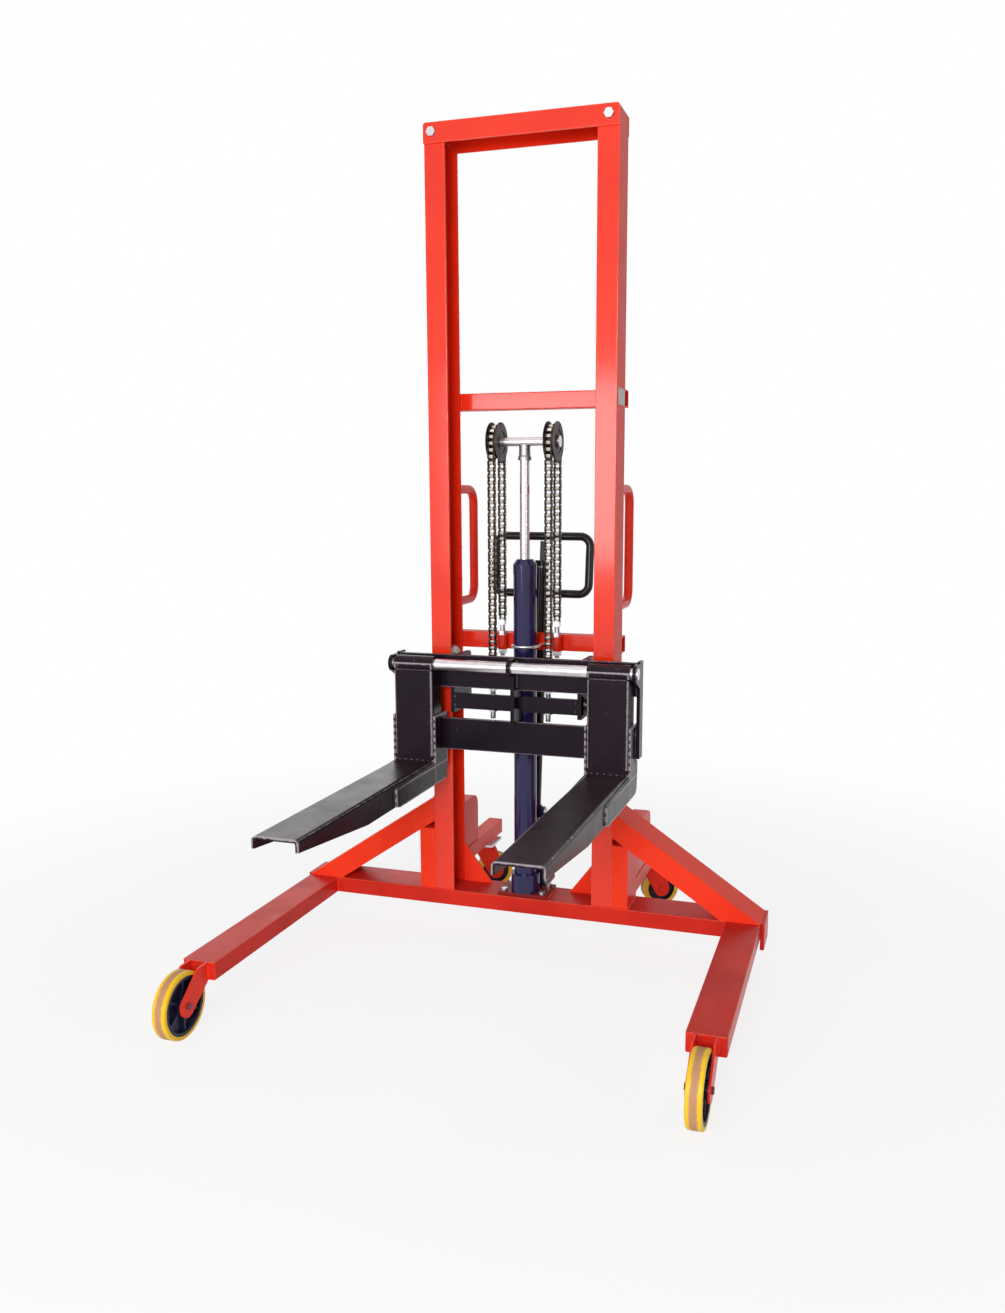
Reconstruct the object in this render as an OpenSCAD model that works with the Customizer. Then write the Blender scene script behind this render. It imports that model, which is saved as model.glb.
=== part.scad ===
// Hand pallet stacker: a manual straddle stacker with a hydraulic mast and two sliding forks.
// Millimetres, +Z up. Pieces are drawn with Y = 0 at the front face of the mast, then shifted
// so that the origin lies on the floor under the middle of the whole machine.

/* [Mast] */
// Height of the mast above the floor
mast_height = 2464; // [2414:10:2574]
// Width over both uprights
mast_width = 577; // [565:1:590]
// Depth of the uprights, front to back
mast_depth = 105; // [101:1:111]
// Width of the upright flanges
upright_flange = 63; // [60:1:68]
// Wall of the upright channels
channel_wall = 7; // [6:0.5:8]
// Fillet inside the upright channels
channel_fillet = 5; // [2:0.5:8]
// Plate of the top beam
top_plate = 6; // [4:0.5:8]
// Drop of the top beam's flanges
top_beam_drop = 56; // [50:1:70]
// Side of the square crossbars
crossbar_size = 50; // [46:1:60]
// Wall of the square crossbars
crossbar_wall = 4; // [3:0.5:5]
// Height of the middle crossbar's centre
upper_crossbar_z = 1695; // [1575:5:1775]
// Height of the lower crossbar's centre
lower_crossbar_z = 968; // [950:1:978]

/* [Base] */
// Clear width between the straddle legs
straddle_width = 1273; // [1240:1:1320]
// Width of a straddle leg
leg_width = 100; // [96:1:104]
// Depth of the cross beam, front to back
base_depth = 126; // [122:1:130]
// Height of the legs and of the cross beam
base_height = 50; // [46:1:54]
// Height of their underside above the floor
base_underside = 123; // [120:1:128]
// Wall of the base tubes
base_wall = 5; // [4:0.5:6]
// Reach of the legs in front of the mast
leg_reach = 700; // [670:5:705]
// Width of an outboard post beside the upright
post_width = 50; // [46:1:56]
// Height of an outboard post
post_height = 198; // [190:1:204]
// Thickness of a diagonal brace
brace_thickness = 65; // [60:1:68]
// Slope of a diagonal brace
brace_angle = 34; // [33:0.5:36]
// Height of an inner gusset
gusset_height = 126; // [100:2:150]
// Length of an inner gusset
gusset_length = 95; // [80:1:110]

/* [Rear frame and push handles] */
// Distance of the rail ends behind the mast's front face
rail_end = 625; // [622:1:650]
// Rear end of the boxed brackets
bracket_end = 372; // [330:2:400]
// Height of the boxed brackets above the rails
bracket_height = 168; // [120:1:180]
// Rounding of the brackets' upper rear corner
bracket_round = 40; // [20:1:60]
// Diameter of the push handle tube
handle_tube = 28; // [25:1:31]
// Reach of a push handle behind the mast
handle_reach = 196; // [170:1:210]
// Height of a push handle's lower arm
handle_low = 1080; // [1054:2:1104]
// Height of a push handle's upper arm
handle_high = 1434; // [1394:2:1454]
// Bend radius of the push handles
handle_bend = 45; // [35:1:60]

/* [Front wheels] */
// Diameter of a front wheel
wheel_diameter = 180; // [176:1:182]
// Width of a front wheel
wheel_width = 40; // [36:1:44]
// Thickness of the tread
tread_thickness = 11; // [8:0.5:14]
// Gap between a front wheel and the end of its leg
wheel_gap = 3; // [2:0.5:8]
// Plate of the wheel ears
ear_plate = 6; // [5:0.5:8]
// Rounding of an ear round its axle
ear_round = 30; // [24:0.5:34]

/* [Rear casters] */
// Diameter of a caster wheel
caster_diameter = 125; // [118:1:128]
// Width of a caster wheel
caster_width = 45; // [40:1:48]
// Trail of a caster
caster_trail = 34; // [30:1:38]
// Distance of the swivel axis behind the mast's front face
caster_back = 512; // [480:1:560]
// Turn of the casters as they stand, wheels towards the right and the back
caster_turn = 30; // [0:1:60]

/* [Cylinder and chains] */
// Outer diameter of the cylinder tube
cylinder_outer = 70; // [66:1:72]
// Bore of the cylinder tube
cylinder_bore = 55; // [50:1:56]
// Height of the shoulder under the gland nut
cylinder_shoulder = 1181; // [1180:1:1194]
// Diameter of the lift rod
rod_diameter = 30; // [28:1:32]
// Sideways distance of the chains from the middle
chain_offset = 88; // [86:1:92]
// Width of a chain
chain_width = 24; // [20:1:26]
// Thickness of a chain
chain_thickness = 18; // [16:0.5:18]
// Radius of a chain wheel under the chain
sheave_radius = 36.8; // [36:0.1:38]
// Height of the chain wheels' axle at rest
sheave_z = 1571; // [1564:1:1594]
// Diameter of the crosshead axle
axle_diameter = 26; // [24:1:28]

/* [Carriage] */
// Half the width over the carriage's end plates
carriage_half = 380; // [378:1:400]
// Plate of the carriage's cross members
carriage_plate = 12; // [10:0.5:14]
// Height of the upper plate
upper_plate_height = 99; // [90:1:103]
// Height of the middle bars
middle_bar_height = 47; // [40:1:60]
// Height of the lower plate
lower_plate_height = 97; // [92:1:97]
// Diameter of the fork shaft
shaft_diameter = 35; // [30:1:38]
// Distance of the fork shaft before the mast
shaft_forward = 97; // [95:1:99]

/* [Forks] */
// Sideways distance of a fork's centre line
fork_offset = 300; // [240:1:300]
// Width of a fork
fork_width = 125; // [115:1:125]
// Reach of a fork in front of its shank
fork_reach = 800; // [700:5:900]
// Plate of a fork
fork_plate = 8; // [6:0.5:10]
// Depth of the blade's flanges at the heel
blade_heel = 69; // [60:1:72]
// Depth of the blade's flanges at the tip
blade_tip = 31; // [24:1:40]
// Length of the blade's tapered flanges at the tip
blade_taper = 360; // [300:5:420]
// Plate of the heel plates
heel_plate = 6; // [5:0.5:6]
// Length of the heel plates along the blade
heel_length = 270; // [220:5:320]

/* [Pump and tiller] */
// Lean of the tiller towards the back
tiller_lean = 6.5; // [5:0.5:8]
// Diameter of the tiller tube
tiller_diameter = 45; // [40:1:46]
// Length of the tiller tube from its pivot
tiller_length = 797; // [780:1:810]
// Diameter of the handle loop's tube
loop_tube = 26; // [24:1:28]
// Half the width of the handle loop, on centre lines
loop_half = 155; // [130:1:160]
// Height of the handle loop, on centre lines
loop_height = 180; // [178:1:190]

/* [Hidden] */
$fn = 64;
// Fits: running, close sliding and bolt holes
run_fit = 0.05;
slide_fit = 0.5;
hole_fit = 0.5;
press_fit = 0.02;
cut = 1;

// Paints and metals
frame_red = [0.85, 0.17, 0.11];
carriage_black = [0.15, 0.13, 0.15];
cylinder_navy = [0.10, 0.12, 0.24];
bright_chrome = [0.86, 0.87, 0.89];
bare_steel = [0.66, 0.66, 0.67];
zinc_grey = [0.74, 0.75, 0.76];
chain_grey = [0.27, 0.27, 0.29];
tread_yellow = [0.93, 0.76, 0.13];
core_dark = [0.12, 0.13, 0.19];
seal_black = [0.08, 0.08, 0.08];

// Hexagon sizes over corners, nut heights and bolt radii
m8_radius = 4;
m8_corner = 7.5;
m8_nut = 6.5;
m12_radius = 6;
m12_corner = 10.4;
m12_nut = 7.5;
m16_radius = 8;
m16_corner = 13.9;
m16_nut = 13;
hex_sides = 6;

// Mast
mast_half = mast_width / 2;
flange_inner = mast_half - upright_flange;
upright_foot = base_underside + base_height;
upright_top = mast_height - top_plate;
beam_corner = 8;
beam_bolt_inset = 28;
beam_bolt_x = mast_half - beam_bolt_inset;
beam_bolt_z = mast_height - beam_bolt_inset;
crossbar_inset = 2;
crossbar_half = mast_half - crossbar_inset;
boss_radius = 15;
boss_height = 44;

// Base
leg_inner = straddle_width / 2;
leg_outer = leg_inner + leg_width;
leg_centre = leg_inner + leg_width / 2;
leg_corner = 6;
leg_plate = 12;
leg_plate_front = 14;
leg_plate_drop = 32;
tube_corner = 3;
base_top = upright_foot;
post_top = base_top + post_height;
brace_drop = brace_thickness / cos(brace_angle);
brace_rise = tan(brace_angle);
brace_top = base_top + (leg_outer - mast_half) * brace_rise;

// Rear frame
rail_size = 50;
rail_wall = 4;
rail_top = base_top + rail_size;
bracket_wall = 5;
rail_inset = 7;
rail_inner = mast_half - rail_inset;
rail_outer = rail_inner + rail_size;
handle_inset = 27.5;
handle_x = mast_half - handle_inset;
handle_wall = 2.5;
handle_y = mast_depth + handle_reach;

// Front wheels
wheel_radius = wheel_diameter / 2;
wheel_y = -leg_reach - wheel_gap - wheel_radius;
tread_inner = wheel_radius - tread_thickness;
tread_edge = 3;
ear_gap = 3;
ear_inner = wheel_width / 2 + ear_gap;
ear_outer = ear_inner + ear_plate;
ear_flat = 42;
axle_radius = 8;
axle_nut_corner = 10;
axle_nut = 5;
hub_rim = 9;
hub_gap = 0.5;
hub_overlap = 2;
hub_inset = 1;
hub_boss = 22;
hub_web = 10;
hub_rib = 6;
hub_rib_count = 6;
hub_rib_inset = 4;

// Rear casters
caster_radius = caster_diameter / 2;
caster_x = rail_inner + rail_size / 2;
caster_plate_x = 90;
caster_plate_y = 110;
caster_plate = 8;
caster_plate_bottom = base_top - caster_plate;
caster_plate_corner = 8;
king_radius = 10;
king_head = 16;
king_head_height = 6;
swivel_radius = 35;
crown_plate = 6;
swivel_height = 19;
crown_top = caster_plate_bottom - swivel_height;
crown_bottom = crown_top - crown_plate;
crown_half = 38;
caster_leg = 5;
caster_leg_gap = 2.5;
caster_leg_inner = caster_width / 2 + caster_leg_gap;
caster_leg_outer = caster_leg_inner + caster_leg;
caster_leg_round = 27;
caster_hub = 20;
caster_web = 12;
caster_rim = 15;
swivel_gap = 0.3;

// Cylinder
cylinder_forward = 7.5;
cylinder_y = mast_depth / 2 - cylinder_forward;
tube_radius = cylinder_outer / 2;
bore_radius = cylinder_bore / 2;
foot_half = 80;
foot_plate = 12;
foot_front = 5;
foot_margin = 10;
foot_tongue = 48;
foot_rear = 210;
foot_top = base_top + foot_plate;
foot_bolt_x = 62;
foot_bolt_front = 22;
foot_bolt_rear = 96;
collar_wall = 10;
collar_height = 59;
collar_top = foot_top + collar_height;
neck_wall = 4.5;
neck_radius = bore_radius + neck_wall;
neck_height = 23;
neck_top = cylinder_shoulder + neck_height;
gland_wall = 1;
gland_radius = tube_radius + gland_wall;
gland_height = 45;
gland_top = cylinder_shoulder + gland_height;
gland_chamfer = 16;
gland_chamfer_in = 12;
rod_radius = rod_diameter / 2;
seal_width = 7;
seal_radius = rod_radius + seal_width;
seal_step = 6;
seal_bottom = neck_top + seal_step;
seal_height = 10;
piston_bottom = 471;
piston_height = 30;
strap_drop = 5;
strap_z = lower_crossbar_z - strap_drop;
strap_gap = 0.5;
strap_radius = tube_radius + m8_radius + strap_gap;
strap_tail = 13;

// Chains, crosshead and anchors
pitch_radius = sheave_radius + chain_thickness / 2;
front_run_y = cylinder_y - pitch_radius;
rear_run_y = cylinder_y + pitch_radius;
wrap_gap = 0.3;
sheave_clearance = 2;
sheave_flange = mast_depth - cylinder_y - sheave_clearance;
sheave_side = 3;
sheave_gap = 0.5;
sheave_half = chain_width / 2 + sheave_gap + sheave_side;
sheave_relief = 2;
sheave_hub = 22;
rear_run_bottom = 1036;
front_run_bottom = 844;
axle_r = axle_diameter / 2;
axle_play = 1;
axle_half = chain_offset + sheave_half + axle_play;
axle_head_step = 4;
axle_head = axle_r + axle_head_step;
axle_head_length = 5;
crosshead_drop = 54;
crosshead_bottom = sheave_z - crosshead_drop;
crosshead_radius = 17;
crosshead_flare = 20;
crosshead_flare_height = 9;
crosshead_taper = 6;
crosshead_seat = 4;
spigot_radius = 11;
spigot_height = 28;
clevis_height = 16;
clevis_half = 9;
rear_boss_drop = 24;
rear_boss_z = lower_crossbar_z - rear_boss_drop;
rear_rod_drop = 45;
rear_rod_bottom = lower_crossbar_z - rear_rod_drop;
lug_half = 14;
lug_rear = 15;
lug_height = 25;
front_rod_drop = 35;

// Carriage
plate_front = -55;
plate_back = plate_front + carriage_plate;
end_plate = 10;
end_inner = carriage_half - end_plate;
upper_bottom = 842;
upper_top = upper_bottom + upper_plate_height;
middle_bottom = 777;
middle_top = middle_bottom + middle_bar_height;
front_rod_bottom = middle_bottom - front_rod_drop;
lower_bottom = 649;
lower_top = lower_bottom + lower_plate_height;
end_bottom = 659;
end_top = 944;
end_back = -15;
shaft_y = -shaft_forward;
shaft_z = 915;
shaft_radius = shaft_diameter / 2;
shaft_end = 4;
shaft_half = carriage_half + shaft_end;
eye_wall = 7.5;
shaft_eye = shaft_radius + eye_wall;
end_eye_in = 15;
end_eye_drop = 20;
rib_half = 6;
rib_front = -80;
rib_rear = -8;
rib_top = shaft_z + shaft_eye;
rib_tab = 40;
rib_tab_inset = 6;
bar_gap = 24;
side_plate = 12;
side_inset = 83.5;
side_outer = mast_half - side_inset;
side_inner = side_outer - side_plate;
side_bottom = 764;
side_top = 936;
side_rear_gap = 15;
side_back = mast_depth - side_rear_gap;
side_step = 0.5;
roller_radius = (mast_depth - 2 * channel_wall) / 2 - slide_fit;
roller_y = mast_depth / 2;
roller_width = 35;
roller_inset = 23.5;
roller_outer = mast_half - roller_inset;
roller_inner = roller_outer - roller_width;
roller_chamfer = 3;
roller_recess = 2;
roller_recess_outer = 33;
roller_recess_inner = 22;
lower_roller_z = 789;
upper_roller_z = 909;
stub_radius = 15;
stub_head = 17;
stub_head_length = 8;
stub_washer = 19;
stub_washer_length = 3;
stub_shoulder = 20;
stub_play = 1;

// Forks
fork_half = fork_width / 2;
shank_front = -125;
shank_back = plate_front - slide_fit;
shank_drop = 18;
shank_top = shaft_z - shank_drop;
shank_corner = 15;
sleeve_radius = 25;
blade_top = 624;
blade_bend = 12;
blade_rear = shank_front + fork_plate;
heel_bottom = blade_top - blade_heel;
tip_bottom = blade_top - blade_tip;
tip_y = shank_front - fork_reach;
heel_half = fork_half + heel_plate;
heel_top = 760;
heel_front = shank_front - heel_length;
heel_inset = 7;
heel_edge = shank_front + heel_inset;
heel_low = 551;
heel_nose = 5;
heel_nose_length = 4 * heel_nose;
heel_nose_low = heel_low + heel_nose;
heel_nose_drop = 18;
heel_nose_high = blade_top - heel_nose_drop;
heel_throat = 614;
heel_rear = -22;
heel_jaw_low = 614;
heel_rear_low = -30;
heel_corner_z = 564;
heel_corner_y = -45;

// Pump and tiller
pump_half = 46;
pump_front = 95;
pump_rear = 200;
pump_top = 359;
pump_corner = 8;
pivot_y = 130;
pivot_z = 420;
pivot_radius = 8;
cheek_inner = 26;
cheek_plate = 12;
cheek_round = 16;
cheek_flare = 2;
cheek_front = pivot_y - cheek_round - cheek_flare;
cheek_rear = pivot_y + cheek_round + cheek_flare;
pivot_head = 12;
pivot_head_length = 5;
heel_arm = 35;
plunger_y = pivot_y + heel_arm;
plunger_radius = 10;
plunger_head = 14;
plunger_head_height = 8;
plunger_bottom = 346;
pump_bore_bottom = 304;
heel_roller = 12;
eye_half = 25;
eye_radius = 20;
heel_arm_half = 14;
tiller_radius = tiller_diameter / 2;
tiller_wall = 5;
tiller_start = 15;
tiller_hollow = 40;
tiller_plug = 32;
slot_depth = 23;
slot_half = 7.3;
loop_radius = loop_tube / 2;
loop_wall = 2.5;
loop_inner = loop_radius - loop_wall;
loop_drop = 103.3;
loop_low = tiller_length - loop_drop;
loop_high = loop_low + loop_height;
loop_bend = 32;
loop_gap = 12;
lever_half = 7;
lever_thickness = 8;
lever_pin = 4;
lever_low = 8;
lever_drop = 10;
lever_pivot = tiller_length - lever_drop;
lever_gap = 2.5;
lever_top = loop_high - loop_radius - lever_gap;
lever_pin_half = 18;

// Middle of the whole machine, front to back
mid_y = (tip_y + rail_end) / 2;

// Placing and drawing helpers
module in_frame()
{
    translate([0, -mid_y, 0]) children();
}

module slab(x, y, z)
{
    translate([x[0], y[0], z[0]]) cube([x[1] - x[0], y[1] - y[0], z[1] - z[0]]);
}

module along_x(x)
{
    translate([x[0], 0, 0]) rotate([90, 0, 90]) linear_extrude(height = x[1] - x[0]) children();
}

module along_y(y)
{
    translate([0, y[1], 0]) rotate([90, 0, 0]) linear_extrude(height = y[1] - y[0]) children();
}

module along_z(z)
{
    translate([0, 0, z[0]]) linear_extrude(height = z[1] - z[0]) children();
}

module pin_x(x, y, z, r)
{
    translate([x[0], y, z]) rotate([0, 90, 0]) cylinder(h = x[1] - x[0], r = r);
}

module pin_y(x, y, z, r)
{
    translate([x, y[0], z]) rotate([-90, 0, 0]) cylinder(h = y[1] - y[0], r = r);
}

module pin_z(x, y, z, r)
{
    translate([x, y, z[0]]) cylinder(h = z[1] - z[0], r = r);
}

module rounded_rect(x, y, r)
{
    translate([x[0] + r, y[0]]) square([x[1] - x[0] - 2 * r, y[1] - y[0]]);
    translate([x[0], y[0] + r]) square([x[1] - x[0], y[1] - y[0] - 2 * r]);
    for (cx = [x[0] + r, x[1] - r])
        for (cy = [y[0] + r, y[1] - r])
            translate([cx, cy]) circle(r = r);
}

// Rectangle with only its two low corners rounded
module low_rounded_rect(x, y, r)
{
    translate([x[0], y[0] + r]) square([x[1] - x[0], y[1] - y[0] - r]);
    translate([x[0] + r, y[0]]) square([x[1] - x[0] - 2 * r, 2 * r]);
    for (cx = [x[0] + r, x[1] - r])
        translate([cx, y[0] + r]) circle(r = r);
}

// Rectangle with only its two high corners rounded
module high_rounded_rect(x, y, r)
{
    mirror([0, 1, 0]) low_rounded_rect(x, [-y[1], -y[0]], r);
}

// Where the straight edge from a point meets a round end; side 1 is the left one, -1 the right one
function tangent_point(from, centre, r, side) =
    let (arm = from - centre,
         turn = atan2(arm[1], arm[0]) + side * acos(r / norm(arm)))
    centre + r * [cos(turn), sin(turn)];

module on_side(side)
{
    if (side < 0)
        mirror([1, 0, 0]) children();
    else
        children();
}

module both_sides()
{
    for (side = [-1, 1])
        on_side(side) children();
}

// Quarter of a bent bar in the plane drawn, from the given angle on
module quarter_bend(bend, r, start)
{
    rotate([0, 0, start]) rotate_extrude(angle = 90) translate([bend, 0]) circle(r = r);
}

// Mast: uprights, top beam, crossbars
module upright_profile()
{
    difference()
    {
        rounded_rect([-mast_half, -flange_inner], [0, mast_depth], channel_wall / 3);
        rounded_rect([-mast_half + channel_wall, -flange_inner + upright_flange],
                     [channel_wall, mast_depth - channel_wall], channel_fillet);
    }
}

module upright_right()
{
    color(frame_red) in_frame() mirror([1, 0, 0]) upright_shape();
}

module upright_left()
{
    color(frame_red) in_frame() upright_shape();
}

module upright_shape()
{
    difference()
    {
        along_z([upright_foot, upright_top]) upright_profile();
        pin_y(-beam_bolt_x, [-cut, mast_depth + cut], beam_bolt_z, m16_radius + hole_fit);
    }
}

module top_beam_body()
{
    slab([-mast_half, mast_half], [-top_plate, mast_depth + top_plate], [upright_top, mast_height]);
    for (y = [-top_plate, mast_depth])
        slab([-mast_half, mast_half], [y, y + top_plate], [mast_height - top_beam_drop, mast_height]);
}

module top_beam()
{
    color(frame_red) in_frame() difference()
    {
        intersection()
        {
            top_beam_body();
            along_y([-mast_depth, 2 * mast_depth])
                rounded_rect([-mast_half, mast_half], [mast_height - 2 * top_beam_drop, mast_height],
                             beam_corner);
        }
        both_sides()
            pin_y(beam_bolt_x, [-2 * top_plate, mast_depth + 2 * top_plate], beam_bolt_z,
                  m16_radius + hole_fit);
    }
}

// Two long bolts through the top beam and four short bolts through the cylinder's foot
module frame_bolts()
{
    color(zinc_grey) in_frame()
    {
        both_sides() translate([beam_bolt_x, 0, beam_bolt_z]) rotate([-90, 0, 0])
        {
            translate([0, 0, -top_plate - m16_nut]) cylinder(h = m16_nut, r = m16_corner, $fn = hex_sides);
            translate([0, 0, -top_plate]) cylinder(h = mast_depth + 2 * top_plate + m16_nut, r = m16_radius);
            translate([0, 0, mast_depth + top_plate]) cylinder(h = m16_nut, r = m16_corner, $fn = hex_sides);
        }
        both_sides() for (y = [foot_bolt_front, foot_bolt_rear]) translate([foot_bolt_x, y, foot_top])
        {
            cylinder(h = m12_nut, r = m12_corner, $fn = hex_sides);
            translate([0, 0, -foot_plate - 2 * base_wall])
                cylinder(h = foot_plate + 2 * base_wall, r = m12_radius);
        }
    }
}

module square_bar(z)
{
    difference()
    {
        along_x([-crossbar_half, crossbar_half])
            rounded_rect([mast_depth, mast_depth + crossbar_size],
                         [z - crossbar_size / 2, z + crossbar_size / 2], tube_corner);
        slab([-crossbar_half - cut, crossbar_half + cut],
             [mast_depth + crossbar_wall, mast_depth + crossbar_size - crossbar_wall],
             [z - crossbar_size / 2 + crossbar_wall, z + crossbar_size / 2 - crossbar_wall]);
    }
}

// Middle and lower crossbars; the lower one carries the bosses of the rear chain anchors
module crossbars()
{
    color(frame_red) in_frame()
    {
        square_bar(upper_crossbar_z);
        difference()
        {
            union()
            {
                square_bar(lower_crossbar_z);
                both_sides() intersection()
                {
                    pin_z(chain_offset, rear_run_y, [rear_boss_z, rear_boss_z + boss_height], boss_radius);
                    slab([0, mast_half], [0, mast_depth + crossbar_wall / 2],
                         [rear_boss_z - cut, rear_boss_z + boss_height + cut]);
                }
            }
            both_sides()
            {
                pin_z(chain_offset, rear_run_y, [rear_boss_z - cut, rear_boss_z + boss_height + cut],
                      m16_radius + hole_fit);
                pin_y(strap_radius, [mast_depth - cut, mast_depth + crossbar_size + cut], strap_z,
                      m8_radius + hole_fit);
            }
        }
    }
}

// Base: cross beam, straddle legs, wheel ears, posts, braces, gussets
module base_beam()
{
    color(frame_red) in_frame() difference()
    {
        along_x([-leg_inner, leg_inner])
            rounded_rect([0, base_depth], [base_underside, base_top], tube_corner);
        slab([-leg_inner - cut, leg_inner + cut], [base_wall, base_depth - base_wall],
             [base_underside + base_wall, base_top - base_wall]);
        both_sides() for (y = [foot_bolt_front, foot_bolt_rear])
            pin_z(foot_bolt_x, y, [base_top - base_wall - cut, base_top + cut], m12_radius + hole_fit);
    }
}

// Leg tube, closed in front, with a plate on its outer side at the rear end
module leg_shape()
{
    difference()
    {
        intersection()
        {
            along_y([-leg_reach, base_depth])
                rounded_rect([leg_inner, leg_outer], [base_underside, base_top], tube_corner);
            along_z([base_underside - cut, base_top + cut])
                low_rounded_rect([leg_inner, leg_outer], [-leg_reach, base_depth + cut], leg_corner);
        }
        slab([leg_inner + base_wall, leg_outer - base_wall], [-leg_reach + base_wall, base_depth + cut],
             [base_underside + base_wall, base_top - base_wall]);
    }
    slab([leg_outer, leg_outer + leg_plate], [leg_plate_front, base_depth],
         [base_underside - leg_plate_drop, base_top]);
}

module leg_left()
{
    color(frame_red) in_frame() mirror([1, 0, 0]) leg_shape();
}

module leg_right()
{
    color(frame_red) in_frame() leg_shape();
}

// Plates on the front ends of the legs that run forward and down to the front axles
module ear_profile()
{
    axle = [wheel_y, wheel_radius];
    top_front = [-leg_reach - ear_flat, base_top];
    low_rear = [-leg_reach, base_underside];
    difference()
    {
        union()
        {
            polygon([
                [-leg_reach, base_top],
                top_front,
                tangent_point(top_front, axle, ear_round, 1),
                axle,
                tangent_point(low_rear, axle, ear_round, -1),
                low_rear
            ]);
            translate(axle) circle(r = ear_round);
        }
        translate(axle) circle(r = axle_radius + run_fit);
    }
}

module wheel_ears()
{
    color(frame_red) in_frame() both_sides()
    {
        along_x([leg_centre + ear_inner, leg_centre + ear_outer]) ear_profile();
        along_x([leg_centre - ear_outer, leg_centre - ear_inner]) ear_profile();
    }
}

module outboard_posts()
{
    color(frame_red) in_frame() both_sides() difference()
    {
        slab([mast_half, mast_half + post_width], [0, base_depth], [base_top, post_top]);
        slab([mast_half + base_wall, mast_half + post_width - base_wall], [base_wall, base_depth - base_wall],
             [base_top - cut, post_top - base_wall]);
        along_y([-cut, base_depth + cut]) brace_profile(0);
    }
}

// Outline of a diagonal brace; a wall above 0 gives its hollow, open at both ends
module brace_profile(wall)
{
    inset = wall / cos(brace_angle);
    over = wall > 0 ? cut : 0;
    top = brace_top - inset + over * brace_rise;
    low = brace_top - brace_drop + inset + over * brace_rise;
    floor_z = base_top - over;
    polygon([
        [mast_half - over, top],
        [mast_half - over, low],
        [mast_half - over + (low - floor_z) / brace_rise, floor_z],
        [mast_half - over + (top - floor_z) / brace_rise, floor_z]
    ]);
}

module diagonal_braces()
{
    color(frame_red) in_frame() both_sides() difference()
    {
        along_y([0, base_depth]) brace_profile(0);
        along_y([base_wall, base_depth - base_wall]) brace_profile(base_wall);
    }
}

module mast_gussets()
{
    color(frame_red) in_frame() both_sides()
        along_y([mast_depth - channel_wall, mast_depth]) polygon([
            [flange_inner, base_top],
            [flange_inner, base_top + gusset_height],
            [flange_inner - gusset_length, base_top]
        ]);
}

// Rear rails with the boxed brackets welded on top of them
module rear_rails()
{
    color(frame_red) in_frame() both_sides()
    {
        difference()
        {
            slab([rail_inner, rail_outer], [base_depth, rail_end], [base_top, rail_top]);
            slab([rail_inner + rail_wall, rail_outer - rail_wall], [base_depth - cut, rail_end - rail_wall],
                 [base_top + rail_wall, rail_top - rail_wall]);
        }
        difference()
        {
            along_x([rail_inner, rail_outer]) bracket_profile(0);
            along_x([rail_inner + bracket_wall, rail_outer - bracket_wall]) bracket_profile(bracket_wall);
        }
    }
}

module bracket_profile(wall)
{
    over = wall > 0 ? cut : 0;
    end = bracket_end - wall;
    top = rail_top + bracket_height - wall;
    radius = bracket_round - wall;
    translate([base_depth - over, rail_top]) square([end - base_depth + over - radius, top - rail_top]);
    translate([base_depth - over, rail_top]) square([end - base_depth + over, top - rail_top - radius]);
    translate([end - radius, top - radius]) circle(r = radius);
}

// Push handles: loops of round tube behind the uprights
module handle_bar(r, over)
{
    straight_end = handle_y - handle_bend;
    for (z = [handle_low, handle_high])
        pin_y(handle_x, [mast_depth - over, straight_end], z, r);
    pin_z(handle_x, handle_y, [handle_low + handle_bend, handle_high - handle_bend], r);
    translate([handle_x, straight_end, handle_low + handle_bend]) rotate([90, 0, 90])
        quarter_bend(handle_bend, r, -90);
    translate([handle_x, straight_end, handle_high - handle_bend]) rotate([90, 0, 90])
        quarter_bend(handle_bend, r, 0);
}

module push_handles()
{
    color(frame_red) in_frame() both_sides() difference()
    {
        handle_bar(handle_tube / 2, 0);
        handle_bar(handle_tube / 2 - handle_wall, cut);
    }
}

// Front wheels
module at_front_wheel(side)
{
    translate([side * leg_centre, wheel_y, wheel_radius]) rotate([0, 90, 0]) children();
}

module front_axles()
{
    color(zinc_grey) in_frame() for (side = [-1, 1]) at_front_wheel(side)
    {
        translate([0, 0, -ear_outer]) cylinder(h = 2 * ear_outer, r = axle_radius);
        for (turn = [0, 180]) rotate([turn, 0, 0])
            translate([0, 0, ear_outer]) cylinder(h = axle_nut, r = axle_nut_corner, $fn = hex_sides);
    }
}

module front_tyre_shape()
{
    half = wheel_width / 2;
    rotate_extrude() polygon([
        [tread_inner + press_fit, -half],
        [wheel_radius - tread_edge, -half],
        [wheel_radius, -half + tread_edge],
        [wheel_radius, half - tread_edge],
        [wheel_radius - tread_edge, half],
        [tread_inner + press_fit, half]
    ]);
}

module front_tyre_left()
{
    color(tread_yellow) in_frame() at_front_wheel(-1) front_tyre_shape();
}

module front_tyre_right()
{
    color(tread_yellow) in_frame() at_front_wheel(1) front_tyre_shape();
}

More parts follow.
